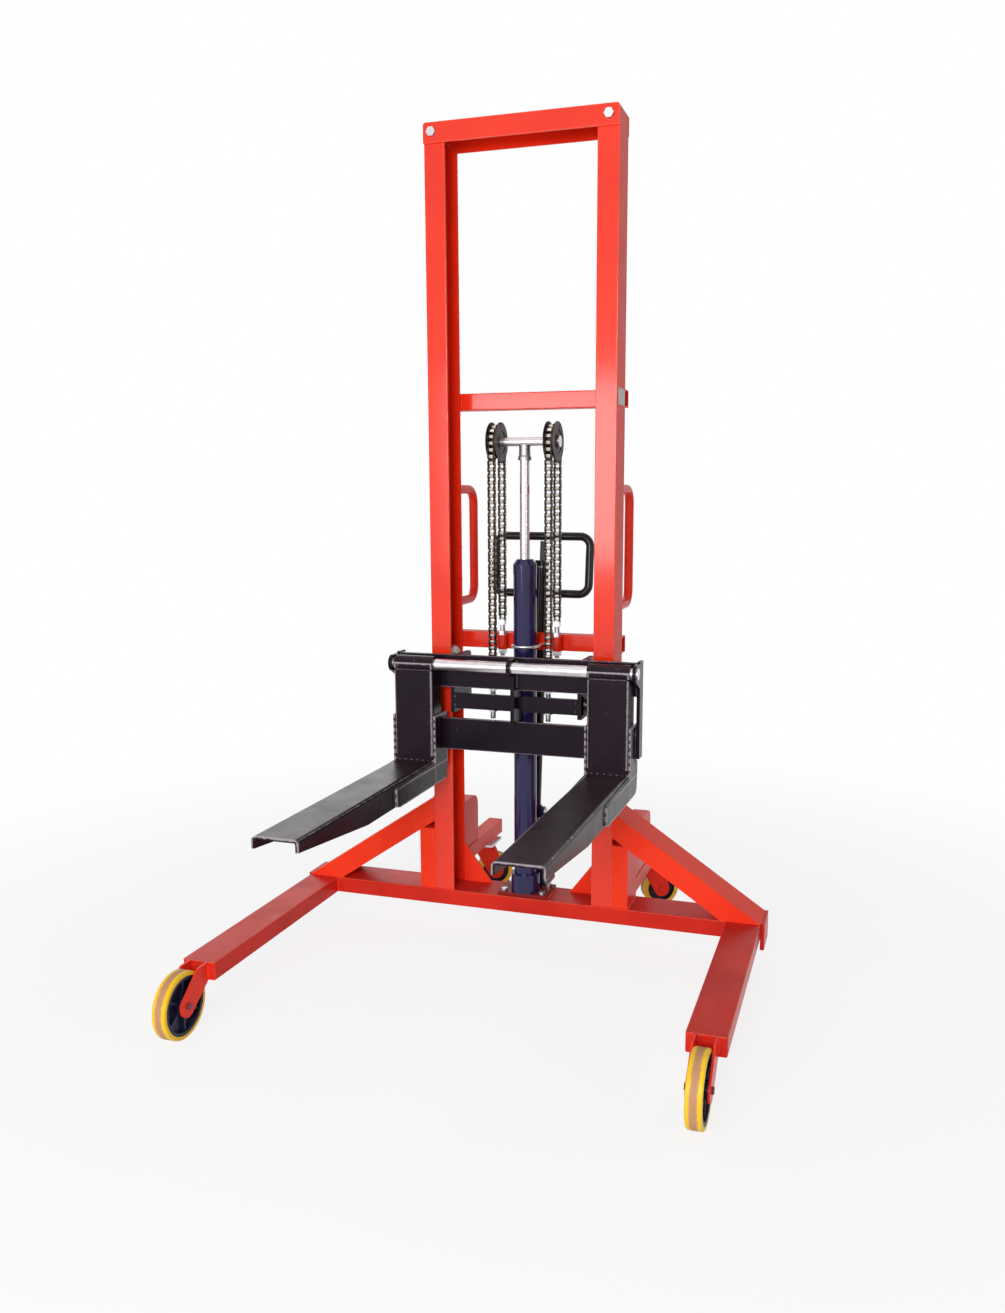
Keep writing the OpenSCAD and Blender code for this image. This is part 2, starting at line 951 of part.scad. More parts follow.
// Wheel core: rim, thin web, long boss and radial ribs
module front_hub_shape()
{
    half = wheel_width / 2 - hub_inset;
    boss_half = ear_inner - hub_gap;
    rotate_extrude() polygon([
        [axle_radius + run_fit, -boss_half],
        [hub_boss, -boss_half],
        [hub_boss, -hub_web / 2],
        [tread_inner - hub_rim, -hub_web / 2],
        [tread_inner - hub_rim, -half],
        [tread_inner, -half],
        [tread_inner, half],
        [tread_inner - hub_rim, half],
        [tread_inner - hub_rim, hub_web / 2],
        [hub_boss, hub_web / 2],
        [hub_boss, boss_half],
        [axle_radius + run_fit, boss_half]
    ]);
    for (i = [0 : hub_rib_count - 1]) rotate([0, 0, i * 360 / hub_rib_count])
        slab([hub_boss - hub_overlap, tread_inner - hub_rim + hub_overlap], [-hub_rib / 2, hub_rib / 2],
             [hub_rib_inset - half, half - hub_rib_inset]);
}

module front_hub_left()
{
    color(core_dark) in_frame() at_front_wheel(-1) front_hub_shape();
}

module front_hub_right()
{
    color(core_dark) in_frame() at_front_wheel(1) front_hub_shape();
}

// Rear casters, both turned the same way as they stand
module caster_top_plates()
{
    color(zinc_grey) in_frame() for (side = [-1, 1]) translate([side * caster_x, caster_back, 0])
    {
        along_z([caster_plate_bottom, base_top])
            rounded_rect([-caster_plate_x / 2, caster_plate_x / 2], [-caster_plate_y / 2, caster_plate_y / 2],
                         caster_plate_corner);
        pin_z(0, 0, [crown_bottom - swivel_gap, caster_plate_bottom], king_radius);
        pin_z(0, 0, [crown_bottom - swivel_gap - king_head_height, crown_bottom - swivel_gap], king_head);
    }
}

module caster_leg_profile()
{
    axle = [caster_trail, caster_radius];
    low_front = [crown_half, crown_bottom];
    low_rear = [-crown_half, crown_bottom];
    polygon([
        low_rear,
        [-crown_half, crown_top],
        [crown_half, crown_top],
        low_front,
        tangent_point(low_front, axle, caster_leg_round, -1),
        axle,
        tangent_point(low_rear, axle, caster_leg_round, 1)
    ]);
    translate(axle) circle(r = caster_leg_round);
}

module caster_fork_shape()
{
    difference()
    {
        union()
        {
            pin_z(0, 0, [crown_top, caster_plate_bottom - swivel_gap], swivel_radius);
            slab([-crown_half, crown_half], [-caster_leg_outer, caster_leg_outer], [crown_bottom, crown_top]);
            along_y([caster_leg_inner, caster_leg_outer]) caster_leg_profile();
            along_y([-caster_leg_outer, -caster_leg_inner]) caster_leg_profile();
            pin_y(caster_trail, [-caster_leg_outer, caster_leg_outer], caster_radius, m12_radius);
        }
        pin_z(0, 0, [crown_bottom - cut, caster_plate_bottom], king_radius + run_fit);
    }
    for (turn = [0, 180]) translate([caster_trail, 0, caster_radius]) rotate([90, 0, turn])
        translate([0, 0, caster_leg_outer]) cylinder(h = m12_nut, r = m12_corner, $fn = hex_sides);
}

module caster_wheel_shape()
{
    half = caster_width / 2;
    boss = caster_leg_inner - swivel_gap;
    translate([caster_trail, 0, caster_radius]) rotate([90, 0, 0]) rotate_extrude() polygon([
        [m12_radius + run_fit, -boss],
        [caster_hub, -boss],
        [caster_hub, -caster_web / 2],
        [caster_radius - caster_rim, -caster_web / 2],
        [caster_radius - caster_rim, -half],
        [caster_radius - tread_edge, -half],
        [caster_radius, -half + tread_edge],
        [caster_radius, half - tread_edge],
        [caster_radius - tread_edge, half],
        [caster_radius - caster_rim, half],
        [caster_radius - caster_rim, caster_web / 2],
        [caster_hub, caster_web / 2],
        [caster_hub, boss],
        [m12_radius + run_fit, boss]
    ]);
}

module at_caster(side)
{
    translate([side * caster_x, caster_back, 0]) rotate([0, 0, caster_turn]) children();
}

module caster_fork_left()
{
    color(frame_red) in_frame() at_caster(-1) caster_fork_shape();
}

module caster_fork_right()
{
    color(frame_red) in_frame() at_caster(1) caster_fork_shape();
}

module caster_wheel_left()
{
    color(tread_yellow) in_frame() at_caster(-1) caster_wheel_shape();
}

module caster_wheel_right()
{
    color(tread_yellow) in_frame() at_caster(1) caster_wheel_shape();
}

// Hydraulic cylinder
module cylinder_foot()
{
    color(frame_red) in_frame() difference()
    {
        union()
        {
            slab([-foot_half, foot_half], [foot_front, base_depth - foot_margin], [base_top, foot_top]);
            slab([-foot_tongue, foot_tongue], [cylinder_y, foot_rear], [base_top, foot_top]);
        }
        both_sides() for (y = [foot_bolt_front, foot_bolt_rear])
            pin_z(foot_bolt_x, y, [base_top - cut, foot_top + cut], m12_radius + hole_fit);
    }
}

module cylinder_tube()
{
    color(cylinder_navy) in_frame() translate([0, cylinder_y, 0]) rotate_extrude() polygon([
        [bore_radius, foot_top],
        [tube_radius + collar_wall, foot_top],
        [tube_radius + collar_wall, collar_top],
        [tube_radius, collar_top],
        [tube_radius, cylinder_shoulder],
        [neck_radius, cylinder_shoulder],
        [neck_radius, neck_top],
        [bore_radius, neck_top]
    ]);
}

module gland_nut()
{
    rod_hole = rod_radius + run_fit;
    color(cylinder_navy) in_frame() translate([0, cylinder_y, 0]) rotate_extrude() polygon([
        [neck_radius + run_fit, cylinder_shoulder],
        [gland_radius, cylinder_shoulder],
        [gland_radius, gland_top - gland_chamfer],
        [gland_radius - gland_chamfer_in, gland_top],
        [rod_hole, gland_top],
        [rod_hole, seal_bottom + seal_height],
        [seal_radius, seal_bottom + seal_height],
        [seal_radius, seal_bottom],
        [rod_hole, seal_bottom],
        [rod_hole, neck_top],
        [neck_radius + run_fit, neck_top]
    ]);
}

module rod_seal()
{
    color(seal_black) in_frame() translate([0, cylinder_y, 0]) rotate_extrude()
        translate([rod_radius + press_fit, seal_bottom])
            square([seal_radius - rod_radius - run_fit, seal_height]);
}

// U-bolt round the cylinder, nutted behind the lower crossbar
module cylinder_strap()
{
    color(zinc_grey) in_frame()
    {
        translate([0, cylinder_y, strap_z]) rotate([0, 0, 180])
            rotate_extrude(angle = 180) translate([strap_radius, 0]) circle(r = m8_radius);
        both_sides()
        {
            pin_y(strap_radius, [cylinder_y, mast_depth + crossbar_size + strap_tail], strap_z, m8_radius);
            translate([strap_radius, mast_depth + crossbar_size, strap_z]) rotate([-90, 0, 0])
                cylinder(h = m8_nut, r = m8_corner, $fn = hex_sides);
        }
    }
}

module piston_rod()
{
    color(bright_chrome) in_frame() translate([0, cylinder_y, 0])
    {
        pin_z(0, 0, [piston_bottom, crosshead_bottom], rod_radius);
        pin_z(0, 0, [crosshead_bottom, crosshead_bottom + spigot_height], spigot_radius);
    }
}

module piston()
{
    color(bare_steel) in_frame() difference()
    {
        pin_z(0, cylinder_y, [piston_bottom, piston_bottom + piston_height], bore_radius - run_fit);
        pin_z(0, cylinder_y, [piston_bottom - cut, piston_bottom + piston_height + cut],
              rod_radius + press_fit);
    }
}

// Crosshead: a socket on the rod that cradles the axle of the chain wheels
module crosshead()
{
    socket = spigot_radius + run_fit;
    flare_top = crosshead_bottom + crosshead_flare_height;
    socket_top = crosshead_bottom + spigot_height;
    seat_top = sheave_z - axle_r + crosshead_seat;
    color(bare_steel) in_frame() difference()
    {
        translate([0, cylinder_y, 0]) rotate_extrude() polygon([
            [socket, crosshead_bottom],
            [crosshead_flare, crosshead_bottom],
            [crosshead_flare, flare_top],
            [crosshead_radius, flare_top + crosshead_taper],
            [crosshead_radius, seat_top],
            [0, seat_top],
            [0, socket_top],
            [socket, socket_top]
        ]);
        pin_x([-crosshead_flare, crosshead_flare], cylinder_y, sheave_z, axle_r);
    }
}

module crosshead_axle()
{
    color(bare_steel) in_frame()
    {
        pin_x([-axle_half, axle_half], cylinder_y, sheave_z, axle_r);
        both_sides() pin_x([axle_half, axle_half + axle_head_length], cylinder_y, sheave_z, axle_head);
    }
}

// Chain wheel: plain grooved sheave with two side flanges
module chain_wheel_shape()
{
    groove = chain_width / 2 + sheave_gap;
    rotate([0, 90, 0]) rotate_extrude() polygon([
        [axle_r + run_fit, -sheave_half],
        [sheave_hub, -sheave_half],
        [sheave_hub + sheave_relief, -sheave_half + sheave_relief],
        [sheave_radius - sheave_relief, -sheave_half + sheave_relief],
        [sheave_radius, -sheave_half],
        [sheave_flange, -sheave_half],
        [sheave_flange, -groove],
        [sheave_radius, -groove],
        [sheave_radius, groove],
        [sheave_flange, groove],
        [sheave_flange, sheave_half],
        [sheave_radius, sheave_half],
        [sheave_radius - sheave_relief, sheave_half - sheave_relief],
        [sheave_hub + sheave_relief, sheave_half - sheave_relief],
        [sheave_hub, sheave_half],
        [axle_r + run_fit, sheave_half]
    ]);
}

module chain_wheel_left()
{
    color(chain_grey) in_frame() translate([-chain_offset, cylinder_y, sheave_z]) chain_wheel_shape();
}

module chain_wheel_right()
{
    color(chain_grey) in_frame() translate([chain_offset, cylinder_y, sheave_z]) chain_wheel_shape();
}

// Chains: straight runs in front and behind, half turns over the wheels
module chain_run(y, z)
{
    half = chain_width / 2;
    both_sides()
        slab([chain_offset - half, chain_offset + half],
             [y - chain_thickness / 2, y + chain_thickness / 2], z);
}

module rear_chain_runs()
{
    color(chain_grey) in_frame() chain_run(rear_run_y, [rear_run_bottom, sheave_z]);
}

module front_chain_runs()
{
    color(chain_grey) in_frame() chain_run(front_run_y, [front_run_bottom, sheave_z]);
}

module chain_wraps()
{
    color(chain_grey) in_frame() both_sides() translate([chain_offset, cylinder_y, sheave_z]) intersection()
    {
        rotate([0, 90, 0]) rotate_extrude() translate([sheave_radius + wrap_gap, -chain_width / 2])
            square([chain_thickness - wrap_gap, chain_width]);
        slab([-chain_width, chain_width], [-2 * pitch_radius, 2 * pitch_radius], [0, 2 * pitch_radius]);
    }
}

// Threaded anchor rod with a clevis block at the chain and nuts on both faces of its lug
module chain_anchor(y, rod_bottom, lug, run_bottom)
{
    clevis_bottom = run_bottom - clevis_height;
    both_sides() translate([chain_offset, y, 0])
    {
        pin_z(0, 0, [rod_bottom, clevis_bottom], m16_radius);
        slab([-clevis_half, clevis_half], [-chain_thickness / 2, chain_thickness / 2],
             [clevis_bottom, run_bottom]);
        for (z = [lug[0] - m16_nut, lug[1]])
            translate([0, 0, z]) cylinder(h = m16_nut, r = m16_corner, $fn = hex_sides);
    }
}

module rear_chain_anchors()
{
    color(zinc_grey) in_frame()
        chain_anchor(rear_run_y, rear_rod_bottom, [rear_boss_z, rear_boss_z + boss_height], rear_run_bottom);
}

module front_chain_anchors()
{
    color(zinc_grey) in_frame()
        chain_anchor(front_run_y, front_rod_bottom, [middle_bottom, middle_bottom + lug_height],
                     front_run_bottom);
}

// Carriage
module upper_plate()
{
    color(carriage_black) in_frame()
        slab([-end_inner, end_inner], [plate_front, plate_back], [upper_bottom, upper_top]);
}

module lower_plate()
{
    color(carriage_black) in_frame()
        slab([-end_inner, end_inner], [plate_front, plate_back], [lower_bottom, lower_top]);
}

// Middle bars with the lugs of the front chain anchors on their backs; the right one stops short of the rib
module middle_bars()
{
    color(carriage_black) in_frame() for (side = [-1, 1]) on_side(side) difference()
    {
        union()
        {
            slab([side < 0 ? rib_half : bar_gap, side_inner], [plate_front, plate_back],
                 [middle_bottom, middle_top]);
            slab([chain_offset - lug_half, chain_offset + lug_half], [plate_back, lug_rear],
                 [middle_bottom, middle_bottom + lug_height]);
        }
        pin_z(chain_offset, front_run_y, [middle_bottom - cut, middle_bottom + lug_height + cut],
              m16_radius + hole_fit);
    }
}

module side_plates()
{
    color(carriage_black) in_frame() both_sides() difference()
    {
        along_x([side_inner, side_outer]) polygon([
            [plate_front, side_bottom],
            [side_back - channel_wall, side_bottom],
            [side_back, side_bottom + channel_wall],
            [side_back, side_top - channel_wall],
            [side_back - channel_wall, side_top],
            [plate_back, side_top],
            [plate_back, upper_bottom - side_step],
            [plate_front, upper_bottom - side_step]
        ]);
        for (z = [lower_roller_z, upper_roller_z])
            pin_x([side_inner - cut, side_outer + cut], roller_y, z, stub_radius + run_fit);
    }
}

module end_plates()
{
    color(carriage_black) in_frame() both_sides() difference()
    {
        along_x([end_inner, carriage_half])
        {
            polygon([
                [plate_front, end_bottom],
                [end_back, end_bottom],
                [end_back, end_top],
                [plate_front, end_top]
            ]);
            polygon([
                [shaft_y, shaft_z + shaft_eye],
                [plate_front + cut, shaft_z + shaft_eye],
                [plate_front + cut, shaft_z - 2 * shaft_eye],
                [shaft_y - end_eye_in, shaft_z - end_eye_drop]
            ]);
            translate([shaft_y, shaft_z]) circle(r = shaft_eye);
        }
        pin_x([end_inner - cut, carriage_half + cut], shaft_y, shaft_z, shaft_radius + run_fit);
    }
}

// Rib in the middle with an eye for the fork shaft and a tab behind the right middle bar
module centre_rib()
{
    color(carriage_black) in_frame() difference()
    {
        union()
        {
            along_x([-rib_half, rib_half])
            {
                polygon([
                    [shaft_y, rib_top],
                    [plate_front, rib_top],
                    [plate_front, upper_bottom - side_step],
                    [rib_rear, upper_bottom - side_step],
                    [rib_rear, lower_top],
                    [rib_front, lower_top],
                    [rib_front, shaft_z],
                    [shaft_y, shaft_z]
                ]);
                translate([shaft_y, shaft_z]) circle(r = shaft_eye);
            }
            slab([0, rib_tab], [plate_back, plate_back + carriage_plate],
                 [middle_bottom + rib_tab_inset, middle_top - rib_tab_inset]);
        }
        pin_x([-rib_half - cut, rib_half + cut], shaft_y, shaft_z, shaft_radius + run_fit);
    }
}

module fork_shaft()
{
    color(bare_steel) in_frame() pin_x([-shaft_half, shaft_half], shaft_y, shaft_z, shaft_radius);
}

module roller_axles()
{
    color(zinc_grey) in_frame() both_sides() for (z = [lower_roller_z, upper_roller_z])
    {
        pin_x([side_inner - stub_head_length, side_inner], roller_y, z, stub_head);
        pin_x([side_inner, roller_outer + stub_play], roller_y, z, stub_radius);
        pin_x([side_outer, roller_inner - stub_play], roller_y, z, stub_shoulder);
        pin_x([roller_outer + stub_play, roller_outer + stub_play + stub_washer_length], roller_y, z,
              stub_washer);
    }
}

module roller_shape(side, z)
{
    bore = stub_radius + run_fit;
    length = roller_outer - roller_inner;
    middle = (roller_outer + roller_inner) / 2;
    half = length / 2;
    translate([side * middle, roller_y, z]) rotate([0, 90, 0]) rotate_extrude() polygon([
        [bore, -half],
        [roller_recess_inner, -half],
        [roller_recess_inner, -half + roller_recess],
        [roller_recess_outer, -half + roller_recess],
        [roller_recess_outer, -half],
        [roller_radius - roller_chamfer, -half],
        [roller_radius, -half + roller_chamfer],
        [roller_radius, half - roller_chamfer],
        [roller_radius - roller_chamfer, half],
        [roller_recess_outer, half],
        [roller_recess_outer, half - roller_recess],
        [roller_recess_inner, half - roller_recess],
        [roller_recess_inner, half],
        [bore, half]
    ]);
}

module roller_upper_left()
{
    color(bare_steel) in_frame() roller_shape(-1, upper_roller_z);
}

module roller_upper_right()
{
    color(bare_steel) in_frame() roller_shape(1, upper_roller_z);
}

module roller_lower_left()
{
    color(bare_steel) in_frame() roller_shape(-1, lower_roller_z);
}

module roller_lower_right()
{
    color(bare_steel) in_frame() roller_shape(1, lower_roller_z);
}

// Forks: bent channel shank with a sleeve, tapered inverted channel blade, heel plates with jaws
module blade()
{
    difference()
    {
        intersection()
        {
            along_x([-fork_half, fork_half]) polygon([
                [blade_rear, blade_top],
                [tip_y, blade_top],
                [tip_y, tip_bottom],
                [tip_y + blade_taper, heel_bottom],
                [blade_rear, heel_bottom]
            ]);
            along_y([tip_y, blade_rear])
                high_rounded_rect([-fork_half, fork_half], [heel_bottom, blade_top], blade_bend);
        }
        along_y([tip_y - cut, blade_rear + cut])
            high_rounded_rect([-fork_half + fork_plate, fork_half - fork_plate],
                              [heel_bottom - cut, blade_top - fork_plate], blade_bend - fork_plate);
    }
}

module shank()
{
    inner = shank_corner - fork_plate;
    along_z([heel_bottom, shank_top]) difference()
    {
        low_rounded_rect([-fork_half, fork_half], [shank_front, shank_back], shank_corner);
        low_rounded_rect([-fork_half + fork_plate, fork_half - fork_plate],
                         [shank_front + fork_plate, shank_back + cut], inner);
    }
}

module heel_profile()
{
    polygon([
        [heel_edge, heel_top],
        [heel_rear, heel_top],
        [heel_rear, lower_top + slide_fit],
        [shank_back, lower_top + slide_fit],
        [shank_back, lower_bottom - slide_fit],
        [heel_rear, lower_bottom - slide_fit],
        [heel_rear, heel_jaw_low],
        [heel_rear_low, heel_corner_z],
        [heel_corner_y, heel_low],
        [heel_front + heel_nose_length, heel_low],
        [heel_front, heel_nose_low],
        [heel_front, heel_nose_high],
        [heel_edge, heel_throat]
    ]);
}

module fork_shape()
{
    difference()
    {
        union()
        {
            blade();
            shank();
            along_x([-heel_half, -fork_half]) heel_profile();
            along_x([fork_half, heel_half]) heel_profile();
            pin_x([-fork_half, fork_half], shaft_y, shaft_z, sleeve_radius);
        }
        pin_x([-fork_half - cut, fork_half + cut], shaft_y, shaft_z, shaft_radius + run_fit);
    }
}

module fork_left()
{
    color(carriage_black) in_frame() translate([-fork_offset, 0, 0]) fork_shape();
}

module fork_right()
{
    color(carriage_black) in_frame() translate([fork_offset, 0, 0]) fork_shape();
}

// Pump with the cheeks that carry the tiller
module pump_body()
{
    color(cylinder_navy) in_frame() difference()
    {
        union()
        {
            along_z([foot_top, pump_top])
                rounded_rect([-pump_half, pump_half], [pump_front, pump_rear], pump_corner);
            both_sides() along_x([cheek_inner, cheek_inner + cheek_plate])
            {
                polygon([
                    [cheek_front, pump_top - cut],
                    [cheek_rear, pump_top - cut],
                    [pivot_y + cheek_round, pivot_z],
                    [pivot_y - cheek_round, pivot_z]
                ]);
                translate([pivot_y, pivot_z]) circle(r = cheek_round);
            }
        }
        pin_z(0, plunger_y, [pump_bore_bottom, pump_top + cut], plunger_radius + run_fit);
        pin_x([-pump_half, pump_half], pivot_y, pivot_z, pivot_radius + run_fit);
    }
}

module tiller_pin()
{
    pin_half = cheek_inner + cheek_plate;
    color(zinc_grey) in_frame()
    {
        pin_x([-pin_half, pin_half], pivot_y, pivot_z, pivot_radius);
        both_sides() pin_x([pin_half, pin_half + pivot_head_length], pivot_y, pivot_z, pivot_head);
    }
}

module pump_plunger()
{
    head_top = pivot_z - heel_roller - swivel_gap;
    color(bare_steel) in_frame()
    {
        pin_z(0, plunger_y, [plunger_bottom, head_top - plunger_head_height], plunger_radius);
        pin_z(0, plunger_y, [head_top - plunger_head_height, head_top], plunger_head);
    }
}

module in_tiller()
{
    translate([0, pivot_y, pivot_z]) rotate([-tiller_lean, 0, 0]) children();
}

// Tiller: eye and heel arm on the pivot, tube, slotted plug at the top
module tiller_tube()
{
    color(carriage_black) in_frame() difference()
    {
        union()
        {
            pin_x([-eye_half, eye_half], pivot_y, pivot_z, eye_radius);
            along_x([-heel_arm_half, heel_arm_half])
            {
                translate([pivot_y, pivot_z - heel_roller]) square([heel_arm, 2 * heel_roller]);
                translate([plunger_y, pivot_z]) circle(r = heel_roller);
            }
            in_tiller() pin_z(0, 0, [tiller_start, tiller_length], tiller_radius);
        }
        pin_x([-2 * eye_half, 2 * eye_half], pivot_y, pivot_z, pivot_radius + run_fit);
        in_tiller()
        {
            pin_z(0, 0, [tiller_hollow, tiller_length - tiller_plug], tiller_radius - tiller_wall);
            pin_x([-2 * tiller_radius, 2 * tiller_radius], 0, loop_low, loop_radius + press_fit);
            slab([-slot_half, slot_half], [-2 * tiller_radius, 2 * tiller_radius],
                 [tiller_length - slot_depth, tiller_length + cut]);
            pin_x([-2 * tiller_radius, 2 * tiller_radius], 0, lever_pivot, lever_pin + run_fit);
        }
    }
}

// Handle loop: one bent tube whose two ends meet inside the tiller tube
module loop_bar(r, gap)
{
    both_sides()
    {
        pin_x([gap, loop_half - loop_bend], 0, loop_low, r);
        pin_z(loop_half, 0, [loop_low + loop_bend, loop_high - loop_bend], r);
        translate([loop_half - loop_bend, 0, loop_low + loop_bend]) rotate([90, 0, 0])
            quarter_bend(loop_bend, r, -90);
        translate([loop_half - loop_bend, 0, loop_high - loop_bend]) rotate([90, 0, 0])
            quarter_bend(loop_bend, r, 0);
    }
    pin_x([loop_bend - loop_half, loop_half - loop_bend], 0, loop_high, r);
}

module tiller_loop()
{
    color(carriage_black) in_frame() in_tiller() difference()
    {
        loop_bar(loop_radius, loop_gap);
        loop_bar(loop_inner, loop_gap - cut);
    }
}

module tiller_lever()
{
    half = lever_thickness / 2;
    color(carriage_black) in_frame() in_tiller()
    {
        slab([-lever_half, lever_half], [-half, half], [lever_pivot - lever_low, lever_top]);
        pin_x([-lever_pin_half, lever_pin_half], 0, lever_pivot, lever_pin);
    }
}

upright_left();
upright_right();
top_beam();
frame_bolts();
crossbars();
base_beam();
leg_left();
leg_right();
wheel_ears();
outboard_posts();
diagonal_braces();
mast_gussets();
rear_rails();
push_handles();
caster_top_plates();
front_axles();
cylinder_foot();
cylinder_tube();
gland_nut();
rod_seal();
cylinder_strap();
rear_chain_anchors();
rear_chain_runs();
pump_body();
tiller_pin();
piston_rod();
piston();
crosshead();
crosshead_axle();
front_chain_runs();
chain_wraps();
chain_wheel_left();
chain_wheel_right();
upper_plate();
lower_plate();
middle_bars();
side_plates();
end_plates();
centre_rib();
fork_shaft();
roller_axles();
front_chain_anchors();
roller_upper_left();
roller_upper_right();
roller_lower_left();
roller_lower_right();
fork_left();
fork_right();
front_tyre_left();
front_tyre_right();
front_hub_left();
front_hub_right();
caster_fork_left();
caster_fork_right();
caster_wheel_left();
caster_wheel_right();
tiller_tube();
tiller_loop();
tiller_lever();
pump_plunger();
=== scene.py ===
"""Looks of a hand pallet stacker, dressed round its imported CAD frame.

The frame gives every rigid piece its place. This script paints those pieces, and adds what the solids leave
out: the links of the two chains, the weld beads and the bare plate on the right upright.
"""

import logging
import math
from dataclasses import dataclass, field, replace
from enum import Enum
from typing import Callable, Iterable, Optional, Sequence

import bpy
import numpy as np
from mathutils import Matrix, Vector


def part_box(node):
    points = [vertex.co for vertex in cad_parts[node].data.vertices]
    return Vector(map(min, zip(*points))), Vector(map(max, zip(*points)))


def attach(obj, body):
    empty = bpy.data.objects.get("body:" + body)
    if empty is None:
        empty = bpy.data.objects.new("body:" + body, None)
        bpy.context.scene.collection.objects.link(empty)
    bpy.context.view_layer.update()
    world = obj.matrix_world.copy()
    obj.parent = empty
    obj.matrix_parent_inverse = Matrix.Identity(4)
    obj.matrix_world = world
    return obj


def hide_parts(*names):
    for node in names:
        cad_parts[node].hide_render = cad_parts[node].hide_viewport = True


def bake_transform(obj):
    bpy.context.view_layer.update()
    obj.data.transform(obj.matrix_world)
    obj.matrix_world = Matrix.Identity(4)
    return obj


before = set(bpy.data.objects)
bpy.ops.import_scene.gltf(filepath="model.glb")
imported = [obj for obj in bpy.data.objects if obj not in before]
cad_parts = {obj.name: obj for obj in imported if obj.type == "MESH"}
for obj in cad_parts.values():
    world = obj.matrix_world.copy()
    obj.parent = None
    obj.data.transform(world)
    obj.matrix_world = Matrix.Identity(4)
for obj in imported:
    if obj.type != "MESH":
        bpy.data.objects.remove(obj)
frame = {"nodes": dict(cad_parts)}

LOG = logging.getLogger("stacker")
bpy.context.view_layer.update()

Node = bpy.types.Node
Socket = bpy.types.NodeSocket
Material = bpy.types.Material
Tone = tuple[int, int, int]
Point = tuple[float, float, float]
Box = tuple[Point, Point]
Solid = tuple[np.ndarray, list[list[int]]]

INWARD = (-1, 0, 0)
OUTWARD = (1, 0, 0)
FORWARD = (0, -1, 0)
BACKWARD = (0, 1, 0)
UP = (0, 0, 1)

MAST_FRONT = 0.150
BASE_TOP = 0.173
LEG_MIDDLE = 0.6865
LEG_INNER = 0.6365
LEG_OUTER = 0.7365
FORK_MIDDLE = 0.300
FORK_HALF = 0.0625
HEEL_HALF = 0.0685
BLADE_TOP = 0.624


class Side(Enum):
    """The two sides of the machine. The value is the sign of X there."""

    LEFT = -1
    RIGHT = 1

    @property
    def label(self) -> str:
        """The side's name as the nodes spell it."""
        return self.name.lower()


def linear(tone: Tone) -> Point:
    """Turns a colour of 0 to 255 a channel into linear light, by the curve of the sRGB standard.

    Args:
        tone: red, green and blue.

    Returns:
        The same colour as three linear values from 0 to 1.
    """
    scaled = np.array(tone) / 255.0
    low = scaled / 12.92
    high = ((scaled + 0.055) / 1.055) ** 2.4
    return tuple(float(v) for v in np.where(scaled <= 0.04045, low, high))


